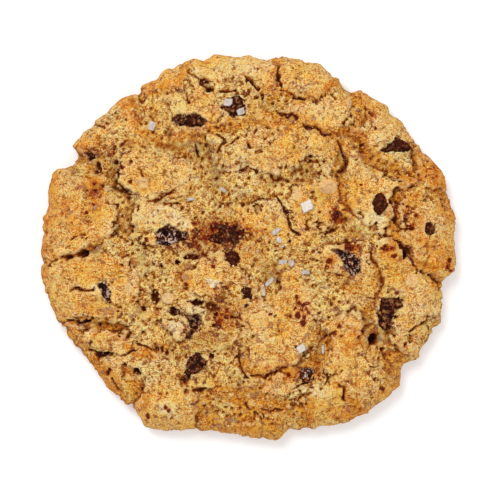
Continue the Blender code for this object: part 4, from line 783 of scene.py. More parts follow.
def grid_border(side):
    """The grid's outer points, anticlockwise from its lower left corner."""
    step = side + 1
    bottom = np.arange(side)
    right = side + step * np.arange(side)
    top = side * step + side - np.arange(side)
    left = step * (side - np.arange(side))
    return np.concatenate([bottom, right, top, left])


def dough_points():
    """Points over the top and sides in millimetres, and what the looks depend on at each."""
    profile = full_profile()
    reach = np.hypot(np.diff(profile[:, 0]) * np.mean(RADIUS), np.diff(profile[:, 1]))
    travelled = np.concatenate([[0], np.cumsum(reach)])
    share_out, angle, square = disc_grid(GRID)
    along = share_out * travelled[-1]
    share = np.interp(along, travelled, profile[:, 0])
    height = np.interp(along, travelled, profile[:, 1])
    out = -np.interp(along, travelled, np.gradient(profile[:, 1], travelled))
    up = np.interp(along, travelled, np.gradient(profile[:, 0] * np.mean(RADIUS), travelled))
    size = np.maximum(np.hypot(out, up), 1e-6)
    out, up = out / size, up / size
    radius = share * radius_at(angle)
    x, y = radius * np.cos(angle), radius * np.sin(angle)
    flat = np.column_stack([x, y])
    raised, cover = relief(flat)
    solid = np.column_stack([x, y, height])
    side = smooth(out, 0.45, 0.95)
    rough = 0.22 * layered_noise(solid, 2.2, 71, 4, 0.65)
    grains, _ = cell_distances(solid, 1.0, 72)
    flank = rough + 0.18 * (0.5 - grains)
    held = np.clip(height / RIM_HEIGHT, 0, 1)
    raised = (raised * (1 - 0.55 * side) + flank * side) * held
    cover["side"] = side
    cover["height"] = height
    cover["lift"] = raised
    outward = out * raised
    points = np.column_stack([
        x + outward * np.cos(angle), y + outward * np.sin(angle), np.maximum(height + up * raised, 0.0),
    ])
    return points, square, cover


def blurred(values, side, passes):
    """The values over the grid, each pass averaging every point with its neighbours."""
    field = values.reshape(side + 1, side + 1)
    for _ in range(passes):
        padded = np.pad(field, 1, mode="edge")
        beside = padded[:-2, 1:-1] + padded[2:, 1:-1] + padded[1:-1, :-2] + padded[1:-1, 2:]
        field = (beside + 4 * field) / 8
    return field.ravel()


def dough_mesh():
    """One closed mesh: domed side, then two rings that halve their points, then the base."""
    top, square, cover = dough_points()
    border = grid_border(GRID)
    half = top[border[::2]] * (BASE_RINGS[0], BASE_RINGS[0], 0.0)
    quarter = top[border[::4]] * (BASE_RINGS[1], BASE_RINGS[1], 0.0)
    share, angle, base_square = disc_grid(BASE_GRID)
    rim = grid_border(BASE_GRID)
    reach = np.hypot(quarter[:, 0], quarter[:, 1])
    turn = np.unwrap(np.arctan2(quarter[:, 1], quarter[:, 0]))
    turned = np.mod(angle - turn[0], 2 * math.pi)
    radius = share * np.interp(turned, turn - turn[0], reach, period=2 * math.pi)
    base = np.column_stack([radius * np.cos(angle), radius * np.sin(angle), 0 * share])
    base[rim] = quarter
    base[:, 2] = 0.12 * (1 + layered_noise(base[:, :2], 5.0, 81, 4, 0.6)) * smooth(share, 1.0, 0.9)
    start_half = len(top)
    start_base = start_half + len(half)
    halves = start_half + np.arange(len(half))
    bases = start_base + rim
    faces = [tuple(quad) for quad in grid_quads(GRID)]
    faces += halving_ring(border, halves)
    faces += halving_ring(halves, bases)
    faces += [tuple(quad[::-1] + start_base) for quad in grid_quads(BASE_GRID)]
    points = np.concatenate([top, half, base])
    return points, faces, square, base_square, cover


def halving_ring(fine, coarse):
    """Faces between two closed rings of points, the second with half as many."""
    faces = []
    for i in range(len(coarse)):
        a, b, c = fine[2 * i], fine[2 * i + 1], fine[(2 * i + 2) % len(fine)]
        here, after = coarse[i], coarse[(i + 1) % len(coarse)]
        faces += [(b, a, here), (c, b, after), (b, here, after)]
    return faces


def object_from(name, points, faces, material):
    mesh = bpy.data.meshes.new(name)
    corners = [tuple(int(i) for i in face) for face in faces]
    mesh.from_pydata((np.asarray(points) * MM).tolist(), [], corners)
    made = bpy.data.objects.new(name, mesh)
    bpy.context.scene.collection.objects.link(made)
    made.data.materials.append(material)
    mesh.shade_smooth()
    return made


def set_attribute(made, name, values):
    layer = made.data.attributes.new(name, "FLOAT", "POINT")
    layer.data.foreach_set("value", np.asarray(values, dtype=np.float32))


def spots_strength(flat, spots, softness):
    """How strongly the nearest of the spots marks each point, from 0 to 1."""
    x, y = wandered(flat, (0.5, 1.6, 91, 93), (0.25, 0.7, 92, 94))
    return spots_depth(x, y, spots, 1 + softness, 2 * softness)


def seam_strength(flat):
    x, y = wandered(flat, (0.7, 2.6, 85, 87), (0.35, 1.1, 86, 88))
    return strokes_depth(x, y, SEAMS, 2.1, 0.0, 1.7)


def speck_strength(flat):
    x, y = wandered(flat, (0.3, 0.8, 95, 96))
    return spots_depth(x, y, [(*middle, radius, radius, 1.0) for *middle, radius in SPECKS], 1.35, 0.7)


def make_dough(material):
    """The dough, with an attribute for each thing that its colour depends on."""
    points, faces, square, base_square, cover = dough_mesh()
    made = object_from("baked_dough", points, faces, material)
    count = len(square)
    extra = len(points) - count
    flat = points[:count, :2]
    lift = cover["lift"]
    # Cracks and deep holes, where painted shade goes
    broken = np.maximum(smooth(cover["cracks"], 0.2, 1.0), smooth(cover["holes"], 0.3, 1.2))
    masks = {
        "opened": cover["opened"],
        # Painted shade goes where a point lies below its blurred neighbours, near and wide; painted
        # highlight where above
        "hollow": blurred(lift, GRID, 12) - lift,
        "wide_hollow": blurred(lift, GRID, 90) - lift,
        "crack": broken,
        "stain": spots_strength(flat, STAINS, 0.6),
        "speck": speck_strength(flat),
        "dusted": spots_strength(flat, DUSTED, 0.3),
        "orange": seam_strength(flat),
        "olive": spots_strength(flat, OLIVE, 0.7),
        "pale": spots_strength(flat, PALE, 0.5),
        "blister": cover["blister"],
        "ledge": cover["ledge"],
        "melt": smooth(cover["near_chip"], 0.7, -0.1),
        "side": cover["side"] * smooth(cover["height"], 4.6, 2.2),
    }
    for name, values in masks.items():
        on_base = 1.0 if name == "side" else 0.0
        set_attribute(made, name, np.concatenate([values, np.full(extra, on_base)]))
    lay_out_for_baking(made, square, base_square)
    return made


# The layout of the textures: lower left corner and half-width of the square for the domed side and
# of the one for the base, the middle of the base's, and how far the ring round the base reaches
TOP_CORNER = 0.01
TOP_HALF = 0.37
UNDER_CORNER = (0.77, 0.01)
UNDER_HALF = 0.11
UNDER_MIDDLE = (0.88, 0.12)
UNDER_RING = 1.06


def lay_out_for_baking(made, square, base_square):
    """A flat layout: the domed side fills one square, the base a smaller one beside it."""
    top = TOP_CORNER + TOP_HALF * (square + 1)
    base = UNDER_CORNER + UNDER_HALF * (base_square + 1)
    border = grid_border(BASE_GRID)
    rows = np.concatenate([top, np.zeros((len(grid_border(GRID)) // 2, 2)), base])
    halves = len(top) + np.arange(2 * len(border))
    rim = base[border]
    rows[halves[::2]] = rim
    rows[halves[1::2]] = (rim + np.roll(rim, -1, axis=0)) / 2
    layer = made.data.uv_layers.new(name="OFBake")
    corners = np.empty(len(made.data.loops), dtype=np.int32)
    made.data.loops.foreach_get("vertex_index", corners)
    sizes = np.empty(len(made.data.polygons), dtype=np.int32)
    made.data.polygons.foreach_get("loop_total", sizes)
    face_of = np.repeat(np.arange(len(sizes)), sizes)
    on_top = corners < len(top)
    mixed = np.bincount(face_of, weights=~on_top) > 0
    place = rows[corners]
    crossing = mixed[face_of] & on_top
    border_top = {int(v): i for i, v in enumerate(grid_border(GRID))}
    for corner in np.flatnonzero(crossing):
        angle_step = border_top[int(corners[corner])] / 4
        low = int(angle_step)
        part = angle_step - low
        start, end = rim[low % len(rim)], rim[(low + 1) % len(rim)]
        outward = (start * (1 - part) + end * part) - UNDER_MIDDLE
        place[corner] = UNDER_MIDDLE + outward * UNDER_RING
    layer.data.foreach_set("uv", place.astype(np.float32).ravel())


class Nodes:
    """Adds nodes to a material, each call giving the new node's first output."""

    def __init__(self, material):
        self.tree = material.node_tree
        self.shader = self.tree.nodes["Principled BSDF"]

    def add(self, kind, inputs=(), output=0, **settings):
        node = self.tree.nodes.new(kind)
        for name, value in settings.items():
            setattr(node, name, value)
        for name, value in dict(inputs).items():
            self.give(node.inputs[name], value)
        return node.outputs[output]

    def give(self, socket, value):
        if isinstance(value, bpy.types.NodeSocket):
            self.tree.links.new(value, socket)
        else:
            socket.default_value = value

    def attribute(self, name):
        return self.add("ShaderNodeAttribute", attribute_name=name, output="Fac")

    def place(self):
        """Object coordinates in millimetres."""
        spot = self.add("ShaderNodeTexCoord", output="Object")
        return self.add("ShaderNodeVectorMath", {0: spot, "Scale": 1 / MM}, operation="SCALE")

    def noise(self, place, size, detail=4.0, roughness=0.55, distortion=0.0):
        return self.add("ShaderNodeTexNoise", {
            "Vector": place, "Scale": 1 / size, "Detail": detail, "Roughness": roughness,
            "Distortion": distortion,
        })

    def cells(self, place, size, output="Distance"):
        return self.add("ShaderNodeTexVoronoi", {"Vector": place, "Scale": 1 / size}, output)

    def math(self, operation, first, second=0.0):
        return self.add("ShaderNodeMath", {0: first, 1: second}, operation=operation)

    def times(self, first, *others):
        for other in others:
            first = self.math("MULTIPLY", first, other)
        return first

    def spread(self, start, shares):
        """The start plus each noise's swing about its middle times its weight."""
        total = start
        for value, weight in shares:
            total = self.math("ADD", total, self.times(self.math("SUBTRACT", value, 0.5), weight))
        return total

    def ramp(self, value, low, high, start=0.0, end=1.0):
        inputs = {"Value": value, "From Min": low, "From Max": high, "To Min": start, "To Max": end}
        return self.add("ShaderNodeMapRange", inputs, interpolation_type="SMOOTHSTEP")

    def colours(self, value, stops):
        """A run of colours, each stop a place from 0 to 1 and a linear colour."""
        node = self.tree.nodes.new("ShaderNodeValToRGB")
        run = node.color_ramp
        while len(run.elements) < len(stops):
            run.elements.new(0.5)
        for element, (spot, colour) in zip(run.elements, stops):
            element.position = spot
            element.color = (*colour, 1.0)
        self.give(node.inputs["Fac"], value)
        return node.outputs["Color"]

    def mix(self, amount, first, second, blend="MIX"):
        node = self.tree.nodes.new("ShaderNodeMix")
        node.data_type = "RGBA"
        node.blend_type = blend
        self.give(node.inputs[0], amount)
        for socket, value in ((node.inputs[6], first), (node.inputs[7], second)):
            self.give(socket, value if isinstance(value, bpy.types.NodeSocket) else (*value, 1.0))
        return node.outputs[2]

    def bump(self, height, strength, distance, before=None):
        inputs = {"Height": height, "Strength": strength, "Distance": distance}
        if before is not None:
            inputs["Normal"] = before
        return self.add("ShaderNodeBump", inputs)

    def finish(self, colour, normal):
        self.give(self.shader.inputs["Base Color"], colour)
        self.give(self.shader.inputs["Normal"], normal)


def new_material(name, roughness, kind=Nodes):
    material = bpy.data.materials.new(name)
    material.use_nodes = True
    nodes = kind(material)
    nodes.shader.inputs["Roughness"].default_value = roughness
    return material, nodes


def srgb(red, green, blue):
    """A colour as a screen shows it, from 0 to 255, as a linear one."""
    shares = [value / 255 for value in (red, green, blue)]
    return tuple(v / 12.92 if v <= 0.04045 else ((v + 0.055) / 1.055) ** 2.4 for v in shares)


class DoughNodes(Nodes):
    """The dough's nodes, with the noises that all its looks share, and its colour as painted so far."""

    def __init__(self, material):
        super().__init__(material)
        self.spot = self.place()
        self.grains = self.noise(self.spot, 0.23, 1.0, 0.6)
        self.flecks = self.noise(self.spot, 0.42, 2.0, 0.6, 0.9)
        self.clumps = self.noise(self.spot, 1.1, 3.0, 0.6)
        self.mottle = self.noise(self.spot, 2.4, 5.0, 0.65)
        self.patches = self.noise(self.spot, 7.5, 3.0, 0.55)
        self.pale = self.stirred("pale", mottle=1.2, clumps=0.8, grains=0.6)
        self.in_crumb = self.ramp(self.stirred("opened", grains=0.8, clumps=0.5), 0.30, 0.70)
        self.layers = self.math("MULTIPLY", self.noise(self.spot, 3.4, 5.0, 0.62, 0.3), 10.0)
        self.layer = self.math("FRACT", self.layers)
        swirl = self.add("ShaderNodeTexNoise", {"Vector": self.spot, "Scale": 1 / 0.6, "Detail": 1.0}, 1)
        self.bent = self.add("ShaderNodeVectorMath", {0: self.spot, 1: swirl}, operation="ADD")
        self.colour = None

    def stirred(self, start, **weights):
        """A value, or the attribute of that name, plus each named noise's swing times its weight."""
        start = self.attribute(start) if isinstance(start, str) else start
        return self.spread(start, [(getattr(self, name), weight) for name, weight in weights.items()])

    def wisps(self, size, detail, roughness, low, high, *more):
        """A mask with soft edges, from a noise of its own."""
        return self.ramp(self.noise(self.spot, size, detail, roughness), low, high, *more)

    def band(self, value, middle, inner, outer):
        """Full within the inner distance of the middle, and gone beyond the outer one."""
        away = self.math("ABSOLUTE", self.math("SUBTRACT", value, middle))
        return self.ramp(away, inner, outer, 1.0, 0.0)

    def dots(self, size, outer, inner, chance):
        """Round dots in cells about size apart, but only where the cell's draw is above a range."""
        dot = self.ramp(self.cells(self.bent, size), outer, inner)
        return self.times(dot, self.ramp(self.cells(self.bent, size, "Color"), *chance))

    def paint(self, share, colour, blend="MIX"):
        self.colour = self.mix(share, self.colour, colour, blend)


def crust_colour(dough):
    """Baked crust: a fine grain of tan and cream, calmer on some plates, paler where floury."""
    calm = dough.wisps(5.0, 3.0, 0.55, 0.40, 0.60, 0.6, 1.15)
    tone = dough.times(dough.stirred(0.0, grains=3.0, flecks=1.1, clumps=0.2), calm)
    tone = dough.stirred(dough.math("ADD", tone, 0.59), mottle=0.3, patches=0.6)
    tone = dough.math("ADD", tone, dough.ramp(dough.pale, 0.15, 0.95, 0.0, 0.22))
    crust = dough.colours(tone, (
        (0.14, srgb(186, 90, 22)), (0.32, srgb(211, 128, 36)), (0.45, srgb(223, 166, 70)),
        (0.56, srgb(222, 185, 102)), (0.72, srgb(219, 195, 138)), (0.92, srgb(221, 207, 172)),
    ))
    fleck = dough.times(dough.ramp(dough.flecks, 0.44, 0.37, 0.0, 0.85), calm, 0.7)
    crust = dough.mix(fleck, crust, srgb(192, 92, 28))
    crust = dough.mix(dough.ramp(dough.grains, 0.56, 0.68, 0.0, 0.8), crust, srgb(222, 208, 174))
    hue = dough.colours(dough.patches, (
        (0.38, (1.04, 1.02, 0.62)), (0.5, (1.04, 1.03, 0.74)), (0.62, (1.04, 1.03, 0.88)),
    ))
    return dough.mix(1.0, crust, hue, "MULTIPLY")


def crumb_colour(dough, crust):
    """Open crumb: golden, with cream lumps, brown dips and red-brown flecks."""
    tone = dough.stirred(0.63, grains=2.4, flecks=1.2, clumps=1.3, mottle=1.7, patches=0.5)
    tone = dough.math("ADD", tone, dough.ramp(dough.pale, 0.15, 0.95, 0.0, 0.15))
    crumb = dough.colours(tone, (
        (0.10, srgb(118, 30, 6)), (0.30, srgb(204, 112, 28)), (0.46, srgb(228, 177, 68)),
        (0.66, srgb(231, 208, 106)), (0.88, srgb(231, 220, 158)),
    ))
    cream = dough.ramp(dough.noise(dough.spot, 2.8, 4.0, 0.7, 0.6), 0.55, 0.61, 0.0, 0.7)
    crumb = dough.mix(cream, crumb, dough.mix(0.5, crust, srgb(234, 210, 156)))
    crumb = dough.mix(dough.ramp(dough.mottle, 0.44, 0.36, 0.0, 0.6), crumb, srgb(150, 88, 30))
    crumb = dough.mix(dough.ramp(dough.flecks, 0.43, 0.36, 0.0, 0.85), crumb, srgb(148, 52, 12))
    return dough.mix(dough.ramp(dough.grains, 0.57, 0.70, 0.0, 0.7), crumb, srgb(228, 214, 170))


def paint_zones(dough):
    """Crust or crumb, then the floury and orange zones, and olive zones of tint and painted shade, over
    both.
    """
    crust = crust_colour(dough)
    dough.colour = dough.mix(dough.in_crumb, crust, crumb_colour(dough, crust))
    floury = dough.stirred("pale", clumps=1.6, mottle=1.2, grains=0.8)
    dough.paint(dough.ramp(floury, 0.95, 1.45, 0.0, 0.75), srgb(230, 216, 184))
    orange = dough.stirred("orange", mottle=1.6, clumps=0.8, grains=0.6)
    dough.paint(dough.ramp(orange, 0.15, 1.0), (0.88, 0.58, 0.22), "MULTIPLY")
    # Olive zones: the crumb's own olive tint, darkened further as painted shade in the valleys
    olive = dough.stirred("olive", mottle=1.2, clumps=0.8, grains=0.6)
    dough.paint(dough.ramp(olive, 0.15, 0.95), (0.60, 0.56, 0.44), "MULTIPLY")


def paint_edges(dough):
    """Painted highlight on the lips and painted shade at the feet of thin layers, the same along the edges
    of the plates, and hairline cracks.
    """
    broken = dough.wisps(1.7, 3.0, 0.6, 0.44, 0.58)
    broken = dough.times(broken, dough.ramp(dough.in_crumb, 0.2, 1.0, 0.6, 0.8))
    # Painted highlight on the lips of the thin layers
    lip = dough.times(dough.ramp(dough.layer, 0.74, 0.97), broken, 0.6)
    dough.paint(lip, srgb(234, 210, 160))
    # Painted shade at the feet of the thin layers
    foot = dough.times(dough.ramp(dough.layer, 0.17, 0.05), broken, 0.85)
    dough.paint(foot, srgb(136, 60, 18))

    edge = dough.stirred("opened", flecks=1.0, grains=0.4, clumps=0.6)
    # Painted shade along the plates' edges where they drop to the crumb
    shade = dough.times(dough.band(edge, 0.60, 0.06, 0.26), dough.wisps(2.2, 3.0, 0.6, 0.45, 0.54), 0.9)
    dough.paint(shade, srgb(104, 34, 8))
    # Painted highlight along the plates' edges
    plate_edge_highlight = dough.times(dough.band(edge, 0.18, 0.05, 0.20), dough.wisps(2.9, 3.0, 0.6, 0.50, 0.60), 0.6)
    dough.paint(plate_edge_highlight, srgb(238, 214, 160))

    laid = dough.add("ShaderNodeVectorMath", {0: dough.spot, 1: (0.42, 1.5, 1.0)}, operation="MULTIPLY")
    hairline = dough.band(dough.noise(laid, 1.2, 3.0, 0.6, 0.4), 0.5, 0.006, 0.028)
    dough.paint(dough.times(hairline, dough.wisps(1.9, 2.0, 0.5, 0.47, 0.56), 0.85), srgb(122, 46, 14))


def paint_dots(dough):
    """Pores and dots, gathered in places, with cream lumps and the painted shade of holes in the crumb."""
    gathered = dough.wisps(3.2, 4.0, 0.65, 0.50, 0.59, 0.05, 1.0)
    dot = dough.dots(0.55, 0.38, 0.26, (0.60, 0.63))
    dot = dough.times(dot, dough.ramp(dough.in_crumb, 0.0, 1.0, 0.06, 0.6), gathered)
    dough.paint(dot, srgb(164, 60, 16))
    dot = dough.dots(0.85, 0.32, 0.20, (0.70, 0.73))
    dot = dough.times(dot, dough.ramp(dough.in_crumb, 0.0, 1.0, 0.08, 0.8), gathered)
    dough.paint(dot, srgb(136, 38, 10))
    cluster = dough.ramp(dough.cells(dough.bent, 1.15), 0.36, 0.26)
    cluster = dough.times(cluster, dough.ramp(dough.attribute("dusted"), 0.4, 0.6))
    spot = dough.math("MAXIMUM", dough.dots(2.6, 0.14, 0.09, (0.58, 0.60)), cluster)
    dough.paint(dough.times(spot, 0.92), srgb(92, 20, 6))
    lump = dough.times(dough.ramp(dough.cells(dough.bent, 1.9), 0.46, 0.30), dough.in_crumb)
    lump = dough.times(lump, dough.ramp(dough.cells(dough.bent, 1.9, "Color"), 0.45, 0.55), 0.6)
    cream = dough.mix(dough.ramp(dough.grains, 0.45, 0.55), srgb(222, 178, 92), srgb(232, 210, 150))
    dough.paint(lump, cream)
    # Painted shade of small holes in the crumb
    hole = dough.dots(1.4, 0.27, 0.19, (0.54, 0.57))
    dough.paint(dough.times(hole, dough.in_crumb, gathered, 0.85), srgb(76, 24, 6))
    shares = ((dough.noise(dough.spot, 2.0, 2.0), 2.0), (dough.attribute("opened"), 0.7))
    chance = dough.spread(0.3, shares)
    pore = dough.ramp(dough.cells(dough.spot, 0.8), 0.30, 0.14)
    dough.paint(dough.times(pore, dough.ramp(chance, 0.3, 0.8), 0.4), srgb(150, 68, 20))


def paint_hollows(dough):
    """Painted shade in hollows, cracks and at the feet of ledges, and a painted highlight on ridges."""
    hollow = dough.attribute("hollow")
    # Painted shade: redder, then darker, then near black where the surface lies below its blurred neighbours
    depth = dough.stirred(hollow, grains=0.45, clumps=0.3)
    dough.paint(dough.ramp(depth, -0.04, 0.16), (0.99, 0.82, 0.60), "MULTIPLY")
    dough.paint(dough.ramp(depth, 0.06, 0.30, 0.0, 0.75), srgb(142, 68, 18))
    dough.paint(dough.ramp(depth, 0.26, 0.62, 0.0, 0.97), srgb(40, 12, 4))
    # Painted shade in the wide valleys
    dough.paint(dough.ramp(dough.attribute("wide_hollow"), 0.3, 1.6, 0.0, 0.35), srgb(132, 78, 24))
    # Painted shade in the cracks and deep holes, near black at their deepest
    crack = dough.stirred("crack", grains=1.2, clumps=1.2, mottle=1.6)
    dough.paint(dough.ramp(crack, 0.15, 0.6, 0.0, 0.75), srgb(144, 66, 20))
    dough.paint(dough.ramp(crack, 0.5, 0.95, 0.0, 0.95), srgb(40, 12, 4))
    # Painted shade at the feet of the crust's layers
    ledge = dough.stirred("ledge", grains=1.4, clumps=1.0)
    dough.paint(dough.ramp(ledge, 0.5, 1.0, 0.0, 0.65), srgb(150, 70, 22))
    # Painted highlight on ridges that stand above their blurred neighbours
    dough.paint(dough.ramp(hollow, -0.10, -0.40, 0.0, 0.3), srgb(234, 210, 158))


def paint_stains(dough):
    """Melted chocolate in and on the dough, pale blisters, red-brown specks and the browned side."""
    stain = dough.attribute("stain")
    dough.paint(dough.ramp(stain, 0.1, 1.0, 0.0, 0.75), (0.72, 0.42, 0.20), "MULTIPLY")
    speckle = dough.stirred(stain, mottle=3.0, clumps=4.0, flecks=2.0, grains=0.8)
    dough.paint(dough.ramp(speckle, 0.58, 0.68, 0.0, 0.92), srgb(124, 26, 6))
    dough.paint(dough.ramp(speckle, 0.95, 1.1, 0.0, 0.94), srgb(44, 10, 4))
    melt = dough.stirred("melt", grains=1.2, clumps=0.8)
    dough.paint(dough.ramp(melt, 0.55, 1.1, 0.0, 0.8), srgb(86, 34, 12))
    blister = dough.stirred("blister", mottle=2.4, clumps=2.0, flecks=1.0)
    dough.paint(dough.ramp(blister, 0.35, 0.7, 0.0, 0.5), srgb(222, 184, 134))
    speck = dough.stirred("speck", grains=1.0)
    dough.paint(dough.ramp(speck, 0.05, 0.5, 0.0, 0.6), srgb(176, 74, 26))
    dough.paint(dough.ramp(speck, 0.45, 0.8, 0.0, 0.95), srgb(84, 16, 5))
    browned = dough.colours(dough.mottle, ((0.35, srgb(136, 78, 28)), (0.6, srgb(184, 120, 52))))
    dough.paint(dough.ramp(dough.attribute("side"), 0.0, 1.0, 0.0, 0.8), browned)


def dough_material():
    material, dough = new_material("baked_dough", 0.85, DoughNodes)
    paint_zones(dough)
    paint_edges(dough)
    paint_dots(dough)
    paint_hollows(dough)
    paint_stains(dough)
    rough = dough.stirred(0.5, grains=1.0, clumps=0.8, flecks=0.8)
    bumped = dough.bump(rough, 0.6, 0.2 * MM)
    stair = dough.math("ADD", dough.math("FLOOR", dough.layers), dough.ramp(dough.layer, 0.0, 0.15))
    dough.finish(dough.colour, dough.bump(stair, 0.5, 0.12 * MM, bumped))
    dough.shader.inputs["Specular IOR Level"].default_value = 0.1
    return material


def chocolate_material():
    material, nodes = new_material("dark_chocolate", 0.45)
    nodes.shader.inputs["Specular IOR Level"].default_value = 0.05
    place = nodes.place()
    streaks = nodes.noise(place, 0.9, 3.0, 0.6, 0.5)
    grains = nodes.noise(place, 0.35, 2.0, 0.6)
    whitened = nodes.attribute("whitened")
    # Pale streaks and bloom: partly the chocolate's own bloom, partly painted sheen
    lively = nodes.times(nodes.math("SUBTRACT", streaks, 0.5), nodes.ramp(whitened, 0.0, 1.0, 0.7, 2.6))
    tone = nodes.spread(nodes.math("ADD", lively, 0.42), ((grains, 0.9),))
    base = nodes.colours(tone, (
        (0.18, srgb(14, 2, 1)), (0.42, srgb(60, 18, 4)), (0.58, srgb(90, 38, 12)),
        (0.82, srgb(170, 118, 64)),
    ))
    swirls = nodes.noise(place, 1.5, 4.0, 0.65, 1.2)
    bloom_and_sheen = nodes.spread(0.5, ((swirls, 1.0), (grains, 0.7), (streaks, 1.0)))
    bloom_and_sheen = nodes.times(nodes.ramp(bloom_and_sheen, 0.55, 0.66), whitened, 0.62)
    bloom_and_sheen_colour = nodes.mix(nodes.ramp(whitened, 0.6, 0.9), srgb(176, 128, 84), srgb(206, 190, 178))
    nodes.finish(nodes.mix(bloom_and_sheen, base, bloom_and_sheen_colour), nodes.bump(tone, 0.7, 0.2 * MM))
    return material


def salt_material():
    material, nodes = new_material("sea_salt", 0.25)
    place = nodes.place()
    cloud = nodes.noise(place, 0.6, 4.0, 0.6)
    colour = nodes.colours(cloud, ((0.38, srgb(192, 172, 154)), (0.6, srgb(220, 208, 198))))
    nodes.finish(colour, nodes.bump(cloud, 0.4, 0.1 * MM))
    nodes.shader.inputs["Transmission Weight"].default_value = 0.25
    nodes.shader.inputs["IOR"].default_value = 1.54
    return material


def crumb_material():
    material, nodes = new_material("loose_crumb", 0.9)
    nodes.shader.inputs["Specular IOR Level"].default_value = 0.1
    place = nodes.place()
    grains = nodes.noise(place, 0.4, 3.0, 0.6)
    tone = nodes.spread(nodes.attribute("tone"), ((grains, 1.2),))
    colour = nodes.colours(tone, (
        (0.1, srgb(104, 54, 16)), (0.35, srgb(176, 116, 44)), (0.6, srgb(212, 158, 82)),
        (0.9, srgb(236, 200, 142)),
    ))
    nodes.finish(colour, nodes.bump(grains, 0.7, 0.15 * MM))
    return material


def tree_of(made):
    bpy.context.view_layer.update()
    corners = [vert.co[:] for vert in made.data.vertices]
    return BVHTree.FromPolygons(corners, [face.vertices[:] for face in made.data.polygons])


def top_of(trees, x, y):
    """The height and facing of the highest of some surfaces at x, y, in millimetres."""
    best = (0.0, Vector((0, 0, 1)))
    for tree in trees:
        spot, normal, _, _ = tree.ray_cast(Vector((x * MM, y * MM, 0.1)), Vector((0, 0, -1)))
        if spot and spot.z / MM > best[0]:
            best = (spot.z / MM, normal)
    return best


# A chip's rings: shares of its outline and their depth on its sides, then shares over its face
CHIP_SIDES = ((0.75, 2.4), (0.96, 0.9))
CHIP_RINGS = (1.0, 0.97, 0.9, 0.8, 0.66, 0.5, 0.34, 0.18)
CHIP_STEPS = 60

# How much wider than its outline a chip is, how far out the dough round it is measured, how far its
# face lies below that dough, how much the face bulges and how rough it is
CHIP_MARGIN = 0.5
CHIP_LOOK = 1.35
CHIP_SINK = 0.45
CHIP_DOME = 0.35
CHIP_ROUGH = 0.55


def closed_outline(outline, steps):
    """The outline at even steps along it, its corners a little rounded and its edge nibbled."""
    points = np.array(outline + outline[:1])
    travel = np.concatenate([[0], np.cumsum(np.hypot(*np.diff(points, axis=0).T))])
    along = np.linspace(0, travel[-1], steps, endpoint=False)
    placed = np.column_stack([np.interp(along, travel, points[:, axis]) for axis in (0, 1)])
    placed = (np.roll(placed, 1, axis=0) + 2 * placed + np.roll(placed, -1, axis=0)) / 4
    nibble = np.column_stack([layered_noise(placed, 1.2, seed, 3, 0.7) for seed in (97, 98)])
    return placed + 0.4 * nibble


def ring_faces(start, rings, steps):
    """Quads between closed rings of points, each ring right after the one before."""
    faces = []
    for ring in range(rings - 1):
        here = start + ring * steps
        above = here + steps
        for i in range(steps):
            j = (i + 1) % steps
            faces.append((here + i, here + j, above + j, above + i))
    return faces


def make_chip(name, outline, trees, seed, material):
    """A chunk of chocolate whose broken face shows and whose sides run down into the dough."""
    edge = closed_outline(outline, CHIP_STEPS)
    middle = edge.mean(axis=0)
    edge = middle + (edge - middle) * (1 + CHIP_MARGIN / np.hypot(*(edge - middle).T)[:, None])
    around = [top_of(trees, *(middle + CHIP_LOOK * (spot - middle)))[0] for spot in edge]
    level = float(np.median(around)) - CHIP_SINK
    rings = [middle + (edge - middle) * share for share, _ in CHIP_SIDES]
    heights = [np.full(CHIP_STEPS, -depth) for _, depth in CHIP_SIDES]
    for share in CHIP_RINGS:
        ring = middle + (edge - middle) * share
        rough = CHIP_ROUGH * layered_noise(ring, 1.6, seed, 4, 0.7)
        lip = 0.45 if share == 1.0 else 0.0
        rings.append(ring)
        heights.append(CHIP_DOME * (1 - share**3) + rough - lip)
    points = []
    for ring, height in zip(rings, heights):
        points += [(x, y, level + z) for (x, y), z in zip(ring, height)]
    top = len(points)
    bottom = top + 1
    points.append((*middle, level + CHIP_DOME))
    points.append((*middle, level - CHIP_SIDES[0][1]))
    faces = ring_faces(0, len(rings), CHIP_STEPS)
    last = (len(rings) - 1) * CHIP_STEPS
    for i in range(CHIP_STEPS):
        j = (i + 1) % CHIP_STEPS
        faces.append((last + i, last + j, top))
        faces.append((j, i, bottom))
    made = object_from(name.replace("chip", "chocolate"), points, faces, material)
    set_attribute(made, "whitened", np.full(len(points), WHITENED.get(name, 0.5)))
    turn_faces_out(made)
    return made


def turn_faces_out(made):
    bm = bmesh.new()
    bm.from_mesh(made.data)
    bmesh.ops.recalc_face_normals(bm, faces=bm.faces)
    bm.to_mesh(made.data)
    bm.free()


# A flake's three rings: share of its outline and height; and how far it leans with the crust
FLAKE_RINGS = ((0.9, -0.25), (1.0, 0.15), (0.86, 0.3))
FLAKE_TILT = 0.3


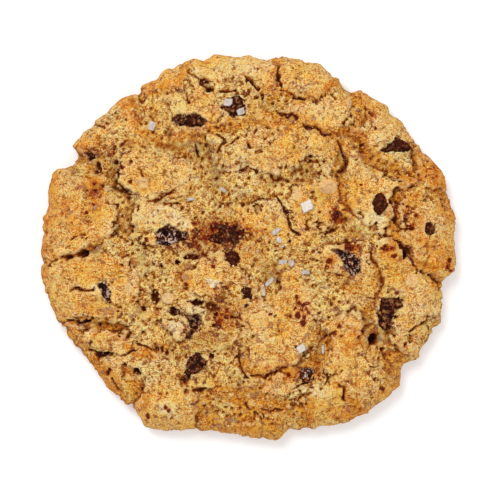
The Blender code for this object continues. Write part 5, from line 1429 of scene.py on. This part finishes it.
def make_flakes(trees, material):
    """Sea salt: thin six-sided crystals with a sloping edge, lying on the crust at odd tilts."""
    rng = np.random.default_rng(7)
    rows = list(FLAKES)
    for x, y in SMALL_FLAKES:
        rows.append((x, y, rng.uniform(0.16, 0.34), rng.uniform(0.1, 0.2), rng.uniform(0, 180)))
    points, faces = [], []
    for x, y, half_length, half_width, turn in rows:
        _, normal = top_of(trees, x, y)
        under = [(0, 0), (0.5, 0), (-0.5, 0), (0, 0.5), (0, -0.5)]
        height = max(top_of(trees, x + dx * half_width, y + dy * half_width)[0] for dx, dy in under)
        lean_x, lean_y = (FLAKE_TILT * slope + rng.uniform(-0.12, 0.12) for slope in normal[:2])
        lean = Vector((lean_x, lean_y, 1.0))
        lean.normalize()
        frame = Vector((0, 0, 1)).rotation_difference(lean).to_matrix()
        cosine, sine = math.cos(math.radians(turn)), math.sin(math.radians(turn))
        cut = rng.uniform(0.3, 0.8)
        corners = np.array([(1, 1), (-cut, 1), (-1, cut), (-1, -1), (cut, -1), (1, -cut)])
        corners = corners * rng.uniform(0.72, 1.0, (6, 2)) * (half_length, half_width)
        sides = len(corners)
        start = len(points)
        for scale, rise in FLAKE_RINGS:
            for px, py in corners * scale:
                local = Vector((px * cosine - py * sine, px * sine + py * cosine, rise))
                points.append(tuple(frame @ local + Vector((x, y, height))))
        faces += ring_faces(start, len(FLAKE_RINGS), sides)
        faces.append(tuple(start + i for i in reversed(range(sides))))
        faces.append(tuple(start + 2 * sides + i for i in range(sides)))
    made = object_from("salt_flakes", points, faces, material)
    made.data.shade_flat()
    return made


# Loose crumbs: how many, and their least and largest radius
CRUMB_COUNT = 1500
CRUMB_SIZE = (0.10, 0.26)


def make_crumbs(trees, material):
    """Loose grains in the open crumb, each a lump of twenty faces."""
    rng = np.random.default_rng(21)
    seed_mesh = bmesh.new()
    bmesh.ops.create_icosphere(seed_mesh, subdivisions=1, radius=1.0)
    lump = np.array([vert.co[:] for vert in seed_mesh.verts])
    lump_faces = np.array([[vert.index for vert in face.verts] for face in seed_mesh.faces])
    seed_mesh.free()
    angle = rng.uniform(0, 2 * math.pi, CRUMB_COUNT * 8)
    radius = 0.97 * radius_at(angle) * np.sqrt(rng.uniform(0, 1, len(angle)))
    flat = np.column_stack([radius * np.cos(angle), radius * np.sin(angle)])
    opened, _, _ = crumb_openness(flat)
    clear = np.full(len(flat), FAR)
    for _, outline in CHIPS:
        clear = np.minimum(clear, outline_distance(*flat.T, outline))
    wanted = (rng.uniform(0, 1, len(flat)) < 0.25 + 0.75 * opened) & (clear > 0.1)
    flat = flat[wanted][:CRUMB_COUNT]
    points, faces, tones = [], [], []
    for i, (x, y) in enumerate(flat):
        height, _ = top_of(trees, x, y)
        size = rng.uniform(*CRUMB_SIZE)
        stretch = rng.uniform(0.7, 1.3, 3)
        jitter = rng.uniform(0.75, 1.25, (len(lump), 1))
        points.append(lump * jitter * stretch * size + (x, y, height + 0.15 * size))
        faces.append(lump_faces + i * len(lump))
        tones.append(np.full(len(lump), rng.uniform(0.2, 0.9)))
    made = object_from("loose_crumbs", np.concatenate(points), np.concatenate(faces), material)
    set_attribute(made, "tone", np.concatenate(tones))
    return made


# The view from above, in metres: the camera's height, and what it sees at the height of the rim
VIEW_HEIGHT = 1.0
VIEW_WIDTH = 0.100
VIEW_CENTRE = (0.0004, -0.0006)
SIGHT_LEVEL = 0.006

# The lights: place and size in metres, power in watts
KEY = ((-0.38, 0.56, 1.0), 0.6, 8.8)
FILL = ((0.8, -0.6, 1.0), 1.0, 5.2)

WHITE = (1.0, 1.0, 1.0, 1.0)
SKY_STRENGTH = 0.61
FLOOR_COLOUR = (0.86, 0.86, 0.86, 1.0)
FLOOR_GLOW = 0.2
FLOOR_REACH = 3.0


def add_camera():
    camera = bpy.data.objects.new("camera", bpy.data.cameras.new("camera"))
    bpy.context.scene.collection.objects.link(camera)
    camera.location = (*VIEW_CENTRE, VIEW_HEIGHT)
    camera.data.sensor_width = 36.0
    camera.data.angle = 2 * math.atan(VIEW_WIDTH / 2 / (VIEW_HEIGHT - SIGHT_LEVEL))
    camera.data.clip_start = 0.01
    bpy.context.scene.camera = camera


def add_area(name, place, size, power):
    light = bpy.data.lights.new(name, "AREA")
    light.size = size
    light.energy = power
    made = bpy.data.objects.new(name, light)
    made.location = place
    made.rotation_euler = (-Vector(place)).to_track_quat("-Z", "Y").to_euler()
    bpy.context.scene.collection.objects.link(made)


def add_studio():
    """A white floor under soft light from the top left, as the photo has it."""
    floor_mesh = bpy.data.meshes.new("floor")
    corners = [(x * FLOOR_REACH, y * FLOOR_REACH, 0) for x, y in ((-1, -1), (1, -1), (1, 1), (-1, 1))]
    floor_mesh.from_pydata(corners, [], [(0, 1, 2, 3)])
    floor = bpy.data.objects.new("floor", floor_mesh)
    bpy.context.scene.collection.objects.link(floor)
    white, nodes = new_material("white_floor", 0.9)
    nodes.shader.inputs["Base Color"].default_value = FLOOR_COLOUR
    nodes.shader.inputs["Emission Color"].default_value = WHITE
    nodes.shader.inputs["Emission Strength"].default_value = FLOOR_GLOW
    floor.data.materials.append(white)
    world = bpy.data.worlds.new("studio")
    world.use_nodes = True
    sky = world.node_tree.nodes["Background"]
    sky.inputs["Color"].default_value = WHITE
    sky.inputs["Strength"].default_value = SKY_STRENGTH
    bpy.context.scene.world = world
    add_area("key", *KEY)
    add_area("fill", *FILL)
    bpy.context.scene.view_settings.view_transform = "Standard"
    bpy.context.scene.cycles.use_denoising = True


def main():
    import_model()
    chocolate = chocolate_material()
    dough = make_dough(dough_material())
    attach(dough, "root")
    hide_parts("dough")
    trees = [tree_of(dough)]
    chips = []
    for seed, (name, outline) in enumerate(CHIPS):
        chip = make_chip(name, outline, trees, 200 + seed, chocolate)
        chips.append(chip)
        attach(chip, "root")
        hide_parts(name)
    salt = make_flakes(trees + [tree_of(chip) for chip in chips], salt_material())
    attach(salt, "root")
    crumbs = make_crumbs(trees, crumb_material())
    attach(crumbs, "root")
    add_camera()
    add_studio()


main()
